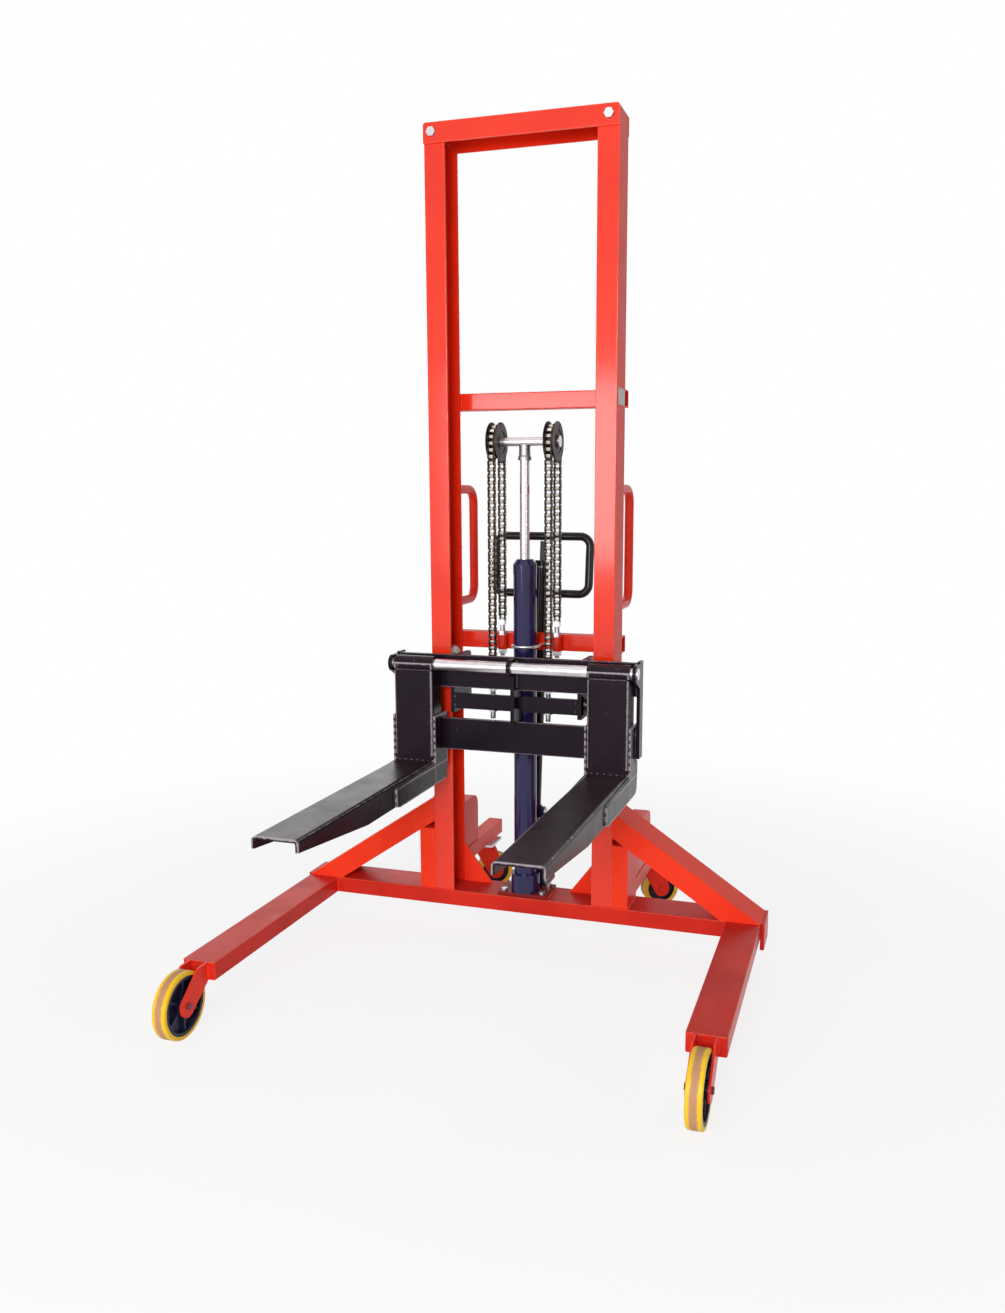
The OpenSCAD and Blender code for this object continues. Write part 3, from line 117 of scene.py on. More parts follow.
class Graph:
    """A node tree with short calls to add and join nodes."""

    def __init__(self, tree: bpy.types.NodeTree) -> None:
        """Wraps a node tree."""
        self.tree = tree

    def feed(self, node: Node, **sockets: object) -> None:
        """Fills or joins a node's inputs.

        Args:
            node: the node.
            **sockets: values or output sockets, by the input's name with underscores for spaces, or by its
                number as i0, i1 and so on.
        """
        for name, value in sockets.items():
            numbered = name[0] == "i" and name[1:].isdigit()
            socket = node.inputs[int(name[1:]) if numbered else name.replace("_", " ")]
            if isinstance(value, Socket):
                self.tree.links.new(value, socket)
            elif isinstance(value, tuple) and socket.type == "RGBA":
                socket.default_value = (*value, 1.0)
            else:
                socket.default_value = value

    def add(self, kind: str, settings: Optional[dict] = None, **sockets: object) -> Node:
        """Adds a node, sets its properties and feeds its inputs.

        Args:
            kind: Blender's node type.
            settings: properties of the node itself.
            **sockets: inputs as feed takes them.

        Returns:
            The new node.
        """
        node = self.tree.nodes.new(kind)
        for name, value in (settings or {}).items():
            setattr(node, name, value)
        self.feed(node, **sockets)
        return node

    def use(self, tree: bpy.types.NodeTree, **sockets: object) -> dict[str, Socket]:
        """Adds a node group, feeds its inputs and gives its outputs."""
        return self.add("ShaderNodeGroup", {"node_tree": tree}, **sockets).outputs

    def math(self, operation: str, *values: object, clamp: bool = False) -> Socket:
        """Adds a Math node on numbers or sockets, held from 0 to 1 where clamped, and gives its output."""
        sockets = {f"i{index}": value for index, value in enumerate(values)}
        return self.add("ShaderNodeMath", {"operation": operation, "use_clamp": clamp}, **sockets).outputs[0]

    def plus(self, first: object, second: object, clamp: bool = False) -> Socket:
        """Adds two values."""
        return self.math("ADD", first, second, clamp=clamp)

    def minus(self, first: object, second: object) -> Socket:
        """Takes the second value from the first."""
        return self.math("SUBTRACT", first, second)

    def times(self, first: object, second: object, clamp: bool = False) -> Socket:
        """Multiplies two values."""
        return self.math("MULTIPLY", first, second, clamp=clamp)

    def ramp(self, value: object, low: float, high: float, start: float = 0.0, end: float = 1.0) -> Socket:
        """Maps a value smoothly, so that low becomes start and high becomes end, and gives the output."""
        curve = {"interpolation_type": "SMOOTHSTEP"}
        return self.add("ShaderNodeMapRange", curve, Value=value, From_Min=low, From_Max=high, To_Min=start,
                        To_Max=end).outputs["Result"]

    def mix(self, factor: object, first: object, second: object) -> Socket:
        """Mixes two colours by a factor and gives the output socket."""
        return self.add("ShaderNodeMix", {"data_type": "RGBA"}, i0=factor, i6=first, i7=second).outputs[2]

    def vector(self, operation: str, *values: object, output: str = "Vector") -> Socket:
        """Adds a Vector Math node of an operation on vectors and gives the named output socket."""
        sockets = {f"i{index}": value for index, value in enumerate(values)}
        return self.add("ShaderNodeVectorMath", {"operation": operation}, **sockets).outputs[output]

    def parts(self, vector: object) -> dict[str, Socket]:
        """Gives the X, Y and Z of a vector."""
        return self.add("ShaderNodeSeparateXYZ", None, i0=vector).outputs

    def place(self) -> Socket:
        """Gives the place on the object, in its own coordinates."""
        return self.add("ShaderNodeTexCoord").outputs["Object"]

    def facing(self, axis: str) -> Socket:
        """Gives how far a face looks along an axis, from -1 to 1."""
        return self.parts(self.add("ShaderNodeNewGeometry").outputs["Normal"])[axis]

    def noise(self, vector: object, scale: float, detail: float = 3.0, roughness: float = 0.5) -> Socket:
        """Adds a noise texture on a vector and gives its value socket."""
        return self.add("ShaderNodeTexNoise", None, Vector=vector, Scale=scale, Detail=detail,
                        Roughness=roughness).outputs[0]

    def stretched(self, vector: object, scale: Point) -> Socket:
        """Scales a vector by axis and gives the output socket."""
        return self.add("ShaderNodeMapping", None, Vector=vector, Scale=scale).outputs[0]

    def bump(self, shader: Node, height: Socket, strength: float, distance: float) -> None:
        """Feeds a height through a Bump node of a strength and a distance in metres into a shader."""
        relief = self.add("ShaderNodeBump", None, Height=height, Strength=strength, Distance=distance)
        self.feed(shader, Normal=relief.outputs[0])


SOCKET_KINDS = {tuple: "NodeSocketColor", Vector: "NodeSocketVector", float: "NodeSocketFloat"}


def group(name: str, inputs: dict[str, object], outputs: Sequence[str],
          build: Callable[[Graph, dict[str, Socket]], dict[str, Socket]]) -> bpy.types.NodeTree:
    """Builds a shader node group once.

    Args:
        name: the group's name.
        inputs: default value of each input, a number, a colour or a Vector, by name.
        outputs: name of each output. Colour is a colour and any other is a number.
        build: fills the tree from the group's inputs and gives the socket that feeds each output.

    Returns:
        The group.
    """
    found = bpy.data.node_groups.get(name)
    if found:
        return found
    tree = bpy.data.node_groups.new(name, "ShaderNodeTree")
    for label, value in inputs.items():
        socket = tree.interface.new_socket(label, in_out="INPUT", socket_type=SOCKET_KINDS[type(value)])
        socket.default_value = (*value, 1.0) if isinstance(value, tuple) else value
    for label in outputs:
        kind = SOCKET_KINDS[tuple if label == "Colour" else float]
        tree.interface.new_socket(label, in_out="OUTPUT", socket_type=kind)
    graph = Graph(tree)
    given = graph.add("NodeGroupInput").outputs
    target = graph.add("NodeGroupOutput")
    graph.feed(target, **build(graph, given))
    return tree


def wear_group() -> bpy.types.NodeTree:
    """Group that varies a coat's colour slowly and adds small scuffs, with a mask of the scuffs."""

    def build(graph: Graph, given: dict[str, Socket]) -> dict[str, Socket]:
        """Joins slow clouds for the tone to streaky specks for the scuffs.

        The specks lie where a fine and a broad noise together pass a level, which more scuffs bring down.
        """
        place = graph.place()
        cloud = graph.ramp(graph.noise(place, 5.0), 0.35, 0.7)
        tone = graph.mix(graph.times(cloud, given["Variation"]), given["Colour"], given["Shade"])
        streak = (1.0, 1.0, 0.25)
        fine = graph.noise(graph.stretched(place, streak), 130.0, detail=4.0, roughness=0.62)
        broad = graph.noise(place, 9.0, detail=2.0)
        patchiness = 0.45
        specks = graph.plus(fine, graph.times(broad, patchiness))
        cleanest = 1.12
        level = graph.minus(cleanest, graph.times(given["Scuffs"], 0.28))
        sharpness = 14.0
        mask = graph.times(graph.minus(specks, level), sharpness, clamp=True)
        return {"Colour": graph.mix(mask, tone, given["Scuff Colour"]), "Mask": mask}

    colours = {"Colour": (0.8, 0.8, 0.8), "Shade": (0.5, 0.5, 0.5), "Scuff Colour": (0.3, 0.3, 0.3)}
    return group("coat_wear", {**colours, "Variation": 0.4, "Scuffs": 0.5}, ("Colour", "Mask"), build)


def relief_group() -> bpy.types.NodeTree:
    """Group that gives the fine height of a sprayed coat and a slow change of roughness."""

    def build(graph: Graph, given: dict[str, Socket]) -> dict[str, Socket]:
        """Adds orange peel to rolling-mill waviness, and turns slow clouds into roughness."""
        place = graph.place()
        peel = graph.times(graph.noise(place, 420.0, detail=2.0), given["Peel"])
        wave = graph.times(graph.noise(place, 22.0, detail=2.0), given["Wave"])
        cloud = graph.minus(graph.noise(place, 14.0, detail=4.0), 0.5)
        rough = graph.plus(given["Roughness"], graph.times(cloud, given["Spread"]), clamp=True)
        return {"Height": graph.plus(peel, wave), "Roughness": rough}

    return group("coat_relief", {"Peel": 0.3, "Wave": 0.5, "Roughness": 0.35, "Spread": 0.2},
                 ("Height", "Roughness"), build)


def dust_group() -> bpy.types.NodeTree:
    """Group that lays thin dust and smears on faces that look up."""

    def build(graph: Graph, given: dict[str, Socket]) -> dict[str, Socket]:
        """Multiplies how far a face looks up by soft clouds."""
        up = graph.ramp(graph.facing("Z"), 0.3, 0.95)
        cloud = graph.ramp(graph.noise(graph.place(), 11.0, detail=5.0, roughness=0.6), 0.3, 0.75, 0.25, 1.0)
        mask = graph.times(graph.times(up, cloud), given["Amount"], clamp=True)
        return {"Colour": graph.mix(mask, given["Colour"], given["Dust Colour"]), "Mask": mask}

    return group("top_dust", {"Colour": (0.5, 0.5, 0.5), "Dust Colour": (0.5, 0.45, 0.4), "Amount": 0.3},
                 ("Colour", "Mask"), build)


def worn_highlight_edge_group() -> bpy.types.NodeTree:
    """Group that marks where two faces of a box meet, as a line of thin or worn paint that is also a painted
    highlight.
    """

    def build(graph: Graph, given: dict[str, Socket]) -> dict[str, Socket]:
        """Takes the middle one of the distances to the box's three pairs of faces, blurred by noise.

        On a face one distance is nought, so the middle one is the distance to the nearest edge. The middle
        one of a, b and c is the larger of min(a, b) and min(max(a, b), c). What lies outside the box is not
        marked.
        """
        place = graph.place()
        arm = graph.vector("ABSOLUTE", graph.vector("SUBTRACT", place, given["Middle"]))
        beyond = graph.parts(graph.vector("SUBTRACT", arm, given["Half"]))
        a, b, c = (graph.math("ABSOLUTE", beyond[axis]) for axis in "XYZ")
        larger = graph.math("MAXIMUM", a, b)
        middle = graph.math("MAXIMUM", graph.math("MINIMUM", a, b), graph.math("MINIMUM", larger, c))
        outside = graph.math("MAXIMUM", graph.math("MAXIMUM", beyond["X"], beyond["Y"]), beyond["Z"])
        skin = 0.001
        inside = graph.math("LESS_THAN", outside, skin)
        # The marked line takes a lighter colour: edge wear, and a painted highlight where a round edge would
        # catch the light.
        chips = graph.minus(graph.noise(place, 70.0, detail=5.0, roughness=0.7), 0.5)
        raggedness = 1.6
        worn_through = 0.35
        share = graph.plus(graph.math("DIVIDE", middle, given["Width"]), graph.times(chips, raggedness))
        line = graph.ramp(share, worn_through, 1.0, 1.0, 0.0)
        return {"Mask": graph.times(line, inside, clamp=True)}

    return group("edge_wear_highlight", {"Middle": Vector((0, 0, 0)), "Half": Vector((1, 1, 1)), "Width": 0.003},
                 ("Mask",), build)


@dataclass(frozen=True)
class Finish:
    """A surface finish: a name and the material made for it."""

    name: str

    def start(self) -> tuple[Material, Graph, Node]:
        """Makes the material with a Principled shader and gives its graph."""
        material = bpy.data.materials.new(self.name)
        material.use_nodes = True
        graph = Graph(material.node_tree)
        return material, graph, material.node_tree.nodes["Principled BSDF"]

    def build(self) -> Material:
        """Makes the finish's material."""
        raise NotImplementedError


@dataclass(frozen=True)
class Paint(Finish):
    """Sprayed paint over steel: tone, scuffs, top dust, orange peel, worn edges with painted highlight,
    clear coat.

    Boxes say which edges are worn and carry a painted highlight. A front coat is a clear coat on forward
    faces alone.
    """

    colour: Tone
    shade: Tone
    scuff: Tone
    dust: Tone
    variation: float = 0.4
    scuffs: float = 0.5
    dusty: float = 0.15
    roughness: float = 0.33
    spread: float = 0.16
    peel: float = 0.3
    wave: float = 0.6
    coat: float = 0.0
    front_coat: float = 0.0
    coat_roughness: float = 0.12
    specular: float = 0.5
    dust_roughness: float = 0.35
    scuff_depth: float = 0.4
    relief: float = 0.12
    relief_distance: float = 0.0008
    worn_highlight_colour: Tone = (188, 188, 188)
    worn_highlight_share: float = 0.5
    edge_width: float = 0.003
    edges: tuple[Box, ...] = ()

    def front_gloss(self, graph: Graph) -> Socket:
        """Gives the coat's weight: glossy on faces that look forward, and dull on all others."""
        forward = graph.ramp(graph.times(graph.facing("Y"), -1.0), 0.5, 0.9)
        return graph.times(forward, self.front_coat)

    def worn_edges(self, graph: Graph, colour: Socket) -> Socket:
        """Lays a lighter colour over the edges of the finish's boxes: edge wear and a painted highlight
        together.

        Args:
            graph: the material's graph.
            colour: the colour without the worn, highlighted edges.

        Returns:
            The colour's output socket.
        """
        for low, high in np.array(self.edges):
            wear = graph.use(worn_highlight_edge_group(), Middle=tuple((low + high) / 2), Half=tuple((high - low) / 2),
                             Width=self.edge_width)
            colour = graph.mix(graph.times(wear["Mask"], self.worn_highlight_share), colour, linear(self.worn_highlight_colour))
        return colour

    def build(self) -> Material:
        """Makes the paint's material from the shared groups."""
        material, graph, shader = self.start()
        wear = graph.use(wear_group(), Colour=linear(self.colour), Shade=linear(self.shade),
                         Scuff_Colour=linear(self.scuff), Variation=self.variation, Scuffs=self.scuffs)
        dust = graph.use(dust_group(), Colour=self.worn_edges(graph, wear["Colour"]),
                         Dust_Colour=linear(self.dust), Amount=self.dusty)
        relief = graph.use(relief_group(), Peel=self.peel, Wave=self.wave, Roughness=self.roughness,
                           Spread=self.spread)
        rough = graph.plus(relief["Roughness"], graph.times(dust["Mask"], self.dust_roughness), clamp=True)
        coat = self.front_gloss(graph) if self.front_coat else self.coat
        graph.feed(shader, Base_Color=dust["Colour"], Roughness=rough, Coat_Weight=coat,
                   Coat_Roughness=self.coat_roughness, Specular_IOR_Level=self.specular)
        height = graph.minus(relief["Height"], graph.times(wear["Mask"], self.scuff_depth))
        graph.bump(shader, height, self.relief, self.relief_distance)
        return material


@dataclass(frozen=True)
class Metal(Finish):
    """Bare or plated metal with a grain along one axis and darker stains."""

    colour: Tone
    stain: Tone
    grain: Point = (1.0, 1.0, 1.0)
    fineness: float = 160.0
    stains: float = 0.3
    roughness: float = 0.3
    spread: float = 0.2
    depth: float = 0.12
    grain_tone: float = 0.25
    stain_roughness: float = 0.25
    relief_distance: float = 0.0004

    def build(self) -> Material:
        """Makes the metal's material: stretched noise is the grain, slow clouds are the stains."""
        material, graph, shader = self.start()
        place = graph.place()
        grain = graph.noise(graph.stretched(place, self.grain), self.fineness, detail=4.0, roughness=0.6)
        cloud = graph.ramp(graph.noise(place, 26.0, detail=5.0, roughness=0.62), 0.45, 0.75)
        mask = graph.times(cloud, self.stains, clamp=True)
        stain = linear(self.stain)
        tone = graph.mix(graph.times(grain, self.grain_tone), linear(self.colour), stain)
        rough = graph.plus(self.roughness, graph.times(grain, self.spread), clamp=True)
        rough = graph.plus(rough, graph.times(mask, self.stain_roughness), clamp=True)
        graph.feed(shader, Base_Color=graph.mix(mask, tone, stain), Roughness=rough, Metallic=1.0)
        graph.bump(shader, grain, self.depth, self.relief_distance)
        return material


@dataclass(frozen=True)
class Tread(Finish):
    """Polyurethane tread of one wheel: yellow sides, a worn band round the middle and a core.

    The core's colour is in linear light.
    """

    colour: Tone
    shade: Tone
    worn: Tone
    middle: Point
    axis: Point = OUTWARD
    core: Point = (0.02, 0.02, 0.04)
    core_radius: float = 0.0
    half_width: float = 0.010
    full_wear: float = 0.55
    no_wear: float = 1.35
    blur: float = 0.010
    wear: float = 0.86
    dirt: float = 0.3
    roughness: float = 0.4
    worn_roughness: float = 0.25
    specular: float = 0.3
    pitting: float = 0.25
    relief_distance: float = 0.0005

    def build(self) -> Material:
        """Makes the tread's material.

        The band is the distance from the wheel's middle plane, blurred by noise. The core is what lies
        nearer to the axle line than its radius, where that distance is the length of a cross product with
        the axis.
        """
        material, graph, shader = self.start()
        place = graph.place()
        arm = graph.vector("SUBTRACT", place, self.middle)
        across = graph.math("ABSOLUTE", graph.vector("DOT_PRODUCT", arm, self.axis, output="Value"))
        radial = graph.vector("LENGTH", graph.vector("CROSS_PRODUCT", arm, self.axis), output="Value")
        ragged = graph.minus(graph.noise(place, 60.0, detail=5.0, roughness=0.65), 0.5)
        band = graph.plus(across, graph.times(ragged, self.blur))
        mask = graph.ramp(band, self.half_width * self.full_wear, self.half_width * self.no_wear, 1.0, 0.0)
        worn = linear(self.worn)
        base = graph.mix(graph.noise(place, 30.0, detail=4.0), linear(self.colour), linear(self.shade))
        dirt = graph.ramp(graph.noise(place, 90.0, detail=5.0, roughness=0.7), 0.5, 0.78)
        base = graph.mix(graph.times(dirt, self.dirt), base, worn)
        base = graph.mix(graph.times(mask, self.wear), base, worn)
        inside = graph.math("LESS_THAN", radial, self.core_radius)
        rough = graph.plus(self.roughness, graph.times(mask, self.worn_roughness))
        graph.feed(shader, Base_Color=graph.mix(inside, base, self.core), Roughness=rough,
                   Specular_IOR_Level=self.specular)
        pits = graph.noise(place, 260.0, detail=4.0, roughness=0.6)
        graph.bump(shader, pits, self.pitting, self.relief_distance)
        return material


# Each paint's edge colour is a lighter line on box edges: part edge wear, part a painted highlight where
# round edges catch the light.
RED = Paint("red_paint", colour=(246, 58, 38), shade=(226, 40, 26), scuff=(112, 26, 20), dust=(176, 62, 48),
            variation=0.45, scuffs=0.4, dusty=0.14, roughness=0.3, spread=0.14, wave=0.7, specular=0.13,
            worn_highlight_colour=(255, 120, 88), edge_width=0.0025)
MAST_RED = replace(RED, name="mast_paint", colour=(244, 52, 24), shade=(226, 40, 20), front_coat=0.85,
                   specular=0.04, dusty=0.04)
# Brighter copy of the red paint for posts, braces and gussets: painted light, a lit copy of the same paint.
LIT_BRACE_RED = replace(RED, name="brace_paint", colour=(255, 66, 40), shade=(248, 52, 30), scuffs=0.3,
                    dusty=0.03, specular=0.06)
LEG_RED = replace(RED, name="leg_paint", colour=(222, 48, 34), shade=(188, 34, 26), dust=(150, 48, 38),
                  variation=0.7, scuffs=0.6, dusty=0.3, specular=0.1)
# Darker copy of the leg paint for the cylinder's foot plate: painted shade, a shaded copy of the same red
# paint.
SHADED_FOOT_RED = replace(LEG_RED, name="foot_paint", colour=(142, 36, 30), shade=(96, 26, 24))
BLACK = Paint("black_paint", colour=(31, 19, 31), shade=(20, 12, 19), scuff=(96, 84, 92), dust=(58, 46, 52),
              variation=0.6, scuffs=0.55, dusty=0.14, roughness=0.25, wave=0.8, specular=0.12,
              worn_highlight_colour=(128, 116, 124), worn_highlight_share=0.7, edge_width=0.0028)
FORK_BLACK = Paint("fork_paint", colour=(35, 21, 32), shade=(22, 13, 20), scuff=(124, 108, 110),
                   dust=(72, 58, 58), variation=0.7, scuffs=0.7, dusty=0.25, roughness=0.26, spread=0.18,
                   wave=1.0, specular=0.13, worn_highlight_colour=(176, 166, 174), worn_highlight_share=0.75, edge_width=0.0055)
# Paint of the black weld beads: a lighter colour and dense pale specks are a painted glint on the beads; the
# gloss is real.
BEAD_BLACK_GLINT = replace(BLACK, name="bead_paint_glint", colour=(58, 48, 54), shade=(38, 30, 36),
                     scuff=(150, 140, 146), scuffs=0.9, roughness=0.2, specular=0.5)
NAVY = Paint("navy_paint", colour=(34, 29, 76), shade=(26, 22, 56), scuff=(80, 76, 104), dust=(60, 56, 76),
             variation=0.5, scuffs=0.3, dusty=0.1, roughness=0.14, spread=0.07, wave=0.3, specular=0.42)
TUBE_BLACK = Paint("handle_black", colour=(26, 21, 30), shade=(19, 15, 20), scuff=(84, 78, 84),
                   dust=(64, 58, 60), variation=0.5, scuffs=0.4, dusty=0.1, roughness=0.26, spread=0.12,
                   wave=0.4, specular=0.25)
CORE = Paint("core_paint", colour=(30, 31, 58), shade=(20, 19, 34), scuff=(84, 82, 92), dust=(66, 62, 70),
             variation=0.6, scuffs=0.55, roughness=0.42, spread=0.2, wave=1.2, specular=0.25)
PLATE = Paint("plate_grey", colour=(176, 172, 172), shade=(150, 146, 148), scuff=(110, 106, 106),
              dust=(170, 165, 160), variation=0.5, scuffs=0.4, dusty=0.1, roughness=0.4, spread=0.15,
              wave=0.3, coat=0.1)
SEAL = Paint("seal_rubber", colour=(28, 27, 28), shade=(20, 19, 20), scuff=(48, 46, 46), dust=(50, 48, 46),
             scuffs=0.2, dusty=0.1, roughness=0.6, spread=0.1, wave=0.2, specular=0.3)
AXLE_DARK = Paint("axle_dark", colour=(120, 34, 30), shade=(70, 24, 22), scuff=(150, 140, 136),
                  dust=(110, 60, 54), variation=0.7, scuffs=0.6, roughness=0.4, spread=0.2, wave=0.5)
CHROME = Metal("hard_chrome", colour=(232, 232, 236), stain=(120, 114, 112), grain=(1.0, 1.0, 0.04),
               fineness=420.0, stains=0.1, roughness=0.07, spread=0.07, depth=0.02)
TURNED = Metal("turned_steel", colour=(226, 222, 226), stain=(132, 120, 118), grain=(14.0, 1.0, 1.0),
               fineness=60.0, roughness=0.22, spread=0.16, depth=0.08)
PLAIN_STEEL = Metal("plain_steel", colour=(186, 182, 180), stain=(92, 82, 76), stains=0.45, spread=0.22,
                    depth=0.1)
ZINC = Metal("zinc_plate", colour=(214, 216, 220), stain=(128, 126, 122), fineness=240.0, roughness=0.22,
             spread=0.18, depth=0.06)
LINK_DARK = Metal("link_dark", colour=(58, 52, 50), stain=(26, 22, 20), fineness=300.0, stains=0.6,
                  spread=0.25, depth=0.15)
LINK_BRIGHT = Metal("link_bright", colour=(226, 216, 204), stain=(104, 90, 78), fineness=300.0, stains=0.32,
                    roughness=0.16, depth=0.08)
SHEAVE = Metal("sheave_steel", colour=(70, 62, 60), stain=(34, 28, 26), fineness=200.0, stains=0.6,
               roughness=0.34, spread=0.25, depth=0.15)


def front_tread(side: Side) -> Tread:
    """Tread of the front wheel on a side; its axle runs along X."""
    axle_y = -0.643
    axle_z = 0.090
    return Tread(f"front_tread_{side.label}", colour=(255, 218, 36), shade=(246, 188, 28),
                 worn=(184, 130, 112), middle=(side.value * LEG_MIDDLE, axle_y, axle_z))


def caster_tread(side: Side) -> Tread:
    """Tread of the caster wheel on a side, which stands turned by 30 degrees about its swivel."""
    turn = math.radians(30)
    trail = 0.034
    swivel_x = 0.3065
    swivel_y = 0.662
    axle_z = 0.0625
    middle = (side.value * swivel_x + trail * math.cos(turn), swivel_y + trail * math.sin(turn), axle_z)
    return Tread(f"caster_tread_{side.label}", colour=(250, 206, 40), shade=(236, 178, 32),
                 worn=(172, 122, 104), middle=middle, axis=(-math.sin(turn), math.cos(turn), 0.0),
                 core_radius=0.0475)


def sided_box(side: Side, low: Point, high: Point) -> Box:
    """Box on one side, from the lowest and highest corner of its right-hand copy."""
    across = sorted((side.value * low[0], side.value * high[0]))
    return (across[0], *low[1:]), (across[1], *high[1:])


def fork_edges(side: Side) -> tuple[Box, ...]:
    """Boxes of one fork with worn edges and a painted edge highlight: shank, blade and the two heel plates,
    each as two boxes.

    Faces that have no free edge are set well outside the metal, so that no line falls there. The shank's box
    is drawn in a little, because its front corners are round.
    """
    left = FORK_MIDDLE - FORK_HALF
    right = FORK_MIDDLE + FORK_HALF
    round_in = 0.003
    boxes = [((left + round_in, 0.025 + round_in, 0.640), (right - round_in, 0.200, 0.920)),
             ((left, -0.775, 0.400), (right, 0.033, BLADE_TOP))]
    for low, high in ((FORK_MIDDLE - HEEL_HALF, left), (right, FORK_MIDDLE + HEEL_HALF)):
        boxes.append(((low, 0.032, 0.400), (high, 0.128, 0.760)))
        boxes.append(((low, -0.245, 0.551), (high, 0.300, 0.609)))
    return tuple(sided_box(side, low, high) for low, high in boxes)


@dataclass
class Wardrobe:
    """Gives every node of the frame its finish."""

    finishes: dict[str, Finish] = field(default_factory=dict)
    built: dict[str, Material] = field(default_factory=dict)

    def material(self, finish: Finish) -> Material:
        """Gives a finish's material, built once."""
        if finish.name not in self.built:
            self.built[finish.name] = finish.build()
        return self.built[finish.name]

    def plan(self) -> None:
        """Lists which node takes which finish."""
        groups = {
            "upright_left upright_right top_beam crossbars": MAST_RED,
            "leg_left leg_right base_beam": LEG_RED,
            "cylinder_foot": SHADED_FOOT_RED,
            "outboard_posts diagonal_braces mast_gussets": LIT_BRACE_RED,
            "wheel_ears rear_rails push_handles caster_fork_left caster_fork_right": RED,
            "upper_plate lower_plate middle_bars side_plates end_plates centre_rib": BLACK,
            "fork_left fork_right": FORK_BLACK,
            "tiller_tube tiller_loop tiller_lever": TUBE_BLACK,
            "cylinder_tube gland_nut pump_body": NAVY,
            "frame_bolts caster_top_plates cylinder_strap rear_chain_anchors front_chain_anchors "
            "tiller_pin roller_axles": ZINC,
            "front_axles": AXLE_DARK,
            "fork_shaft crosshead_axle": TURNED,
            "crosshead piston pump_plunger roller_upper_left roller_upper_right roller_lower_left "
            "roller_lower_right": PLAIN_STEEL,
            "rear_chain_runs front_chain_runs chain_wraps": LINK_DARK,
            "chain_wheel_left chain_wheel_right": SHEAVE,
            "piston_rod": CHROME,
            "rod_seal": SEAL,
            "front_hub_left front_hub_right": CORE,
        }
        self.finishes = {node: finish for nodes, finish in groups.items() for node in nodes.split()}
        for node in "upright_left upright_right top_beam base_beam upper_plate lower_plate".split():
            self.wear_edges(node, (tuple(map(tuple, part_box(node))),))
        for side in Side:
            leg = sided_box(side, (LEG_INNER, -0.550, 0.123), (LEG_OUTER, 0.276, BASE_TOP))
            self.wear_edges(f"fork_{side.label}", fork_edges(side))
            self.wear_edges(f"leg_{side.label}", (leg,))
            self.finishes[f"front_tyre_{side.label}"] = front_tread(side)
            self.finishes[f"caster_wheel_{side.label}"] = caster_tread(side)

    def wear_edges(self, node: str, edges: tuple[Box, ...]) -> None:
        """Gives one node its own copy of its paint, worn and given a painted highlight along the edges of
        some boxes.
        """
        finish = self.finishes[node]
        self.finishes[node] = replace(finish, name=f"{finish.name}_{node}", edges=edges)

    def dress(self, nodes: dict[str, bpy.types.Object]) -> None:
        """Puts each node's material into its slots.

        Args:
            nodes: the frame's mesh objects by name.
        """
        self.plan()
        for name, obj in nodes.items():
            material = self.material(self.finishes[name])
            if not obj.material_slots:
                obj.data.materials.append(material)
            for place in obj.material_slots:
                place.material = material
        LOG.info("dressed %d nodes in %d finishes", len(nodes), len(self.built))

    def piece(self, name: str, points: np.ndarray, faces: Sequence[Sequence[int]], finish: Finish,
              smooth: bool = False) -> bpy.types.Object:
        """Makes one mesh object in the frame's own coordinates.

        Args:
            name: the piece's name.
            points: vertices in metres, one row each.
            faces: vertex numbers of each face.
            finish: its finish.
            smooth: whether faces are shaded smooth.

        Returns:
            The object, linked to the scene.
        """
        mesh = bpy.data.meshes.new(name)
        mesh.from_pydata(np.asarray(points).tolist(), [], [list(map(int, face)) for face in faces])
        mesh.polygons.foreach_set("use_smooth", np.full(len(mesh.polygons), smooth))
        mesh.materials.append(self.material(finish))
        mesh.update()
        obj = bpy.data.objects.new(name, mesh)
        bpy.context.scene.collection.objects.link(obj)
        LOG.info("%s: %d faces", name, len(mesh.polygons))
        return obj


def grid_faces(rows: int, columns: int) -> np.ndarray:
    """Quads of a grid of points whose profile closes on itself.

    Args:
        rows: points along the path.
        columns: points round the profile.

    Returns:
        One row of four vertex numbers for each quad, wound so that a profile turning left faces outwards.
    """
    row, column = np.meshgrid(np.arange(rows - 1), np.arange(columns), indexing="ij")
    after = (column + 1) % columns
    corners = (row * columns + column, row * columns + after, (row + 1) * columns + after,
               (row + 1) * columns + column)
    return np.stack([c.ravel() for c in corners], axis=1)


def prism(outline: np.ndarray, low: float, high: float) -> Solid:
    """Closed prism over a plane outline.

    The points are the outline at the low level followed by the same outline at the high level.

    Args:
        outline: corner points, two values each, turning left.
        low: lower level.
        high: upper level.

    Returns:
        The points and the faces.
    """
    count = len(outline)
    points = np.concatenate([np.column_stack([outline, np.full(count, level)]) for level in (low, high)])
    faces = [list(range(count))[::-1], list(range(count, 2 * count))]
    return points, faces + grid_faces(2, count).tolist()


def circle(steps: int) -> np.ndarray:
    """Points of a circle of radius 1 round the origin, turning left, one row of cosine and sine each."""
    turn = np.arange(steps) * math.pi / (steps // 2)
    return np.column_stack([np.cos(turn), np.sin(turn)])


def gather(parts: Iterable[tuple[np.ndarray, Sequence[Sequence[int]]]]) -> Solid:
    """Joins meshes into one list of points and faces, without merging any points."""
    points, faces, start = [], [], 0
    for vertices, polygons in parts:
        points.append(np.asarray(vertices, float))
        faces += [[int(v) + start for v in face] for face in polygons]
        start += len(vertices)
    return np.concatenate(points), faces


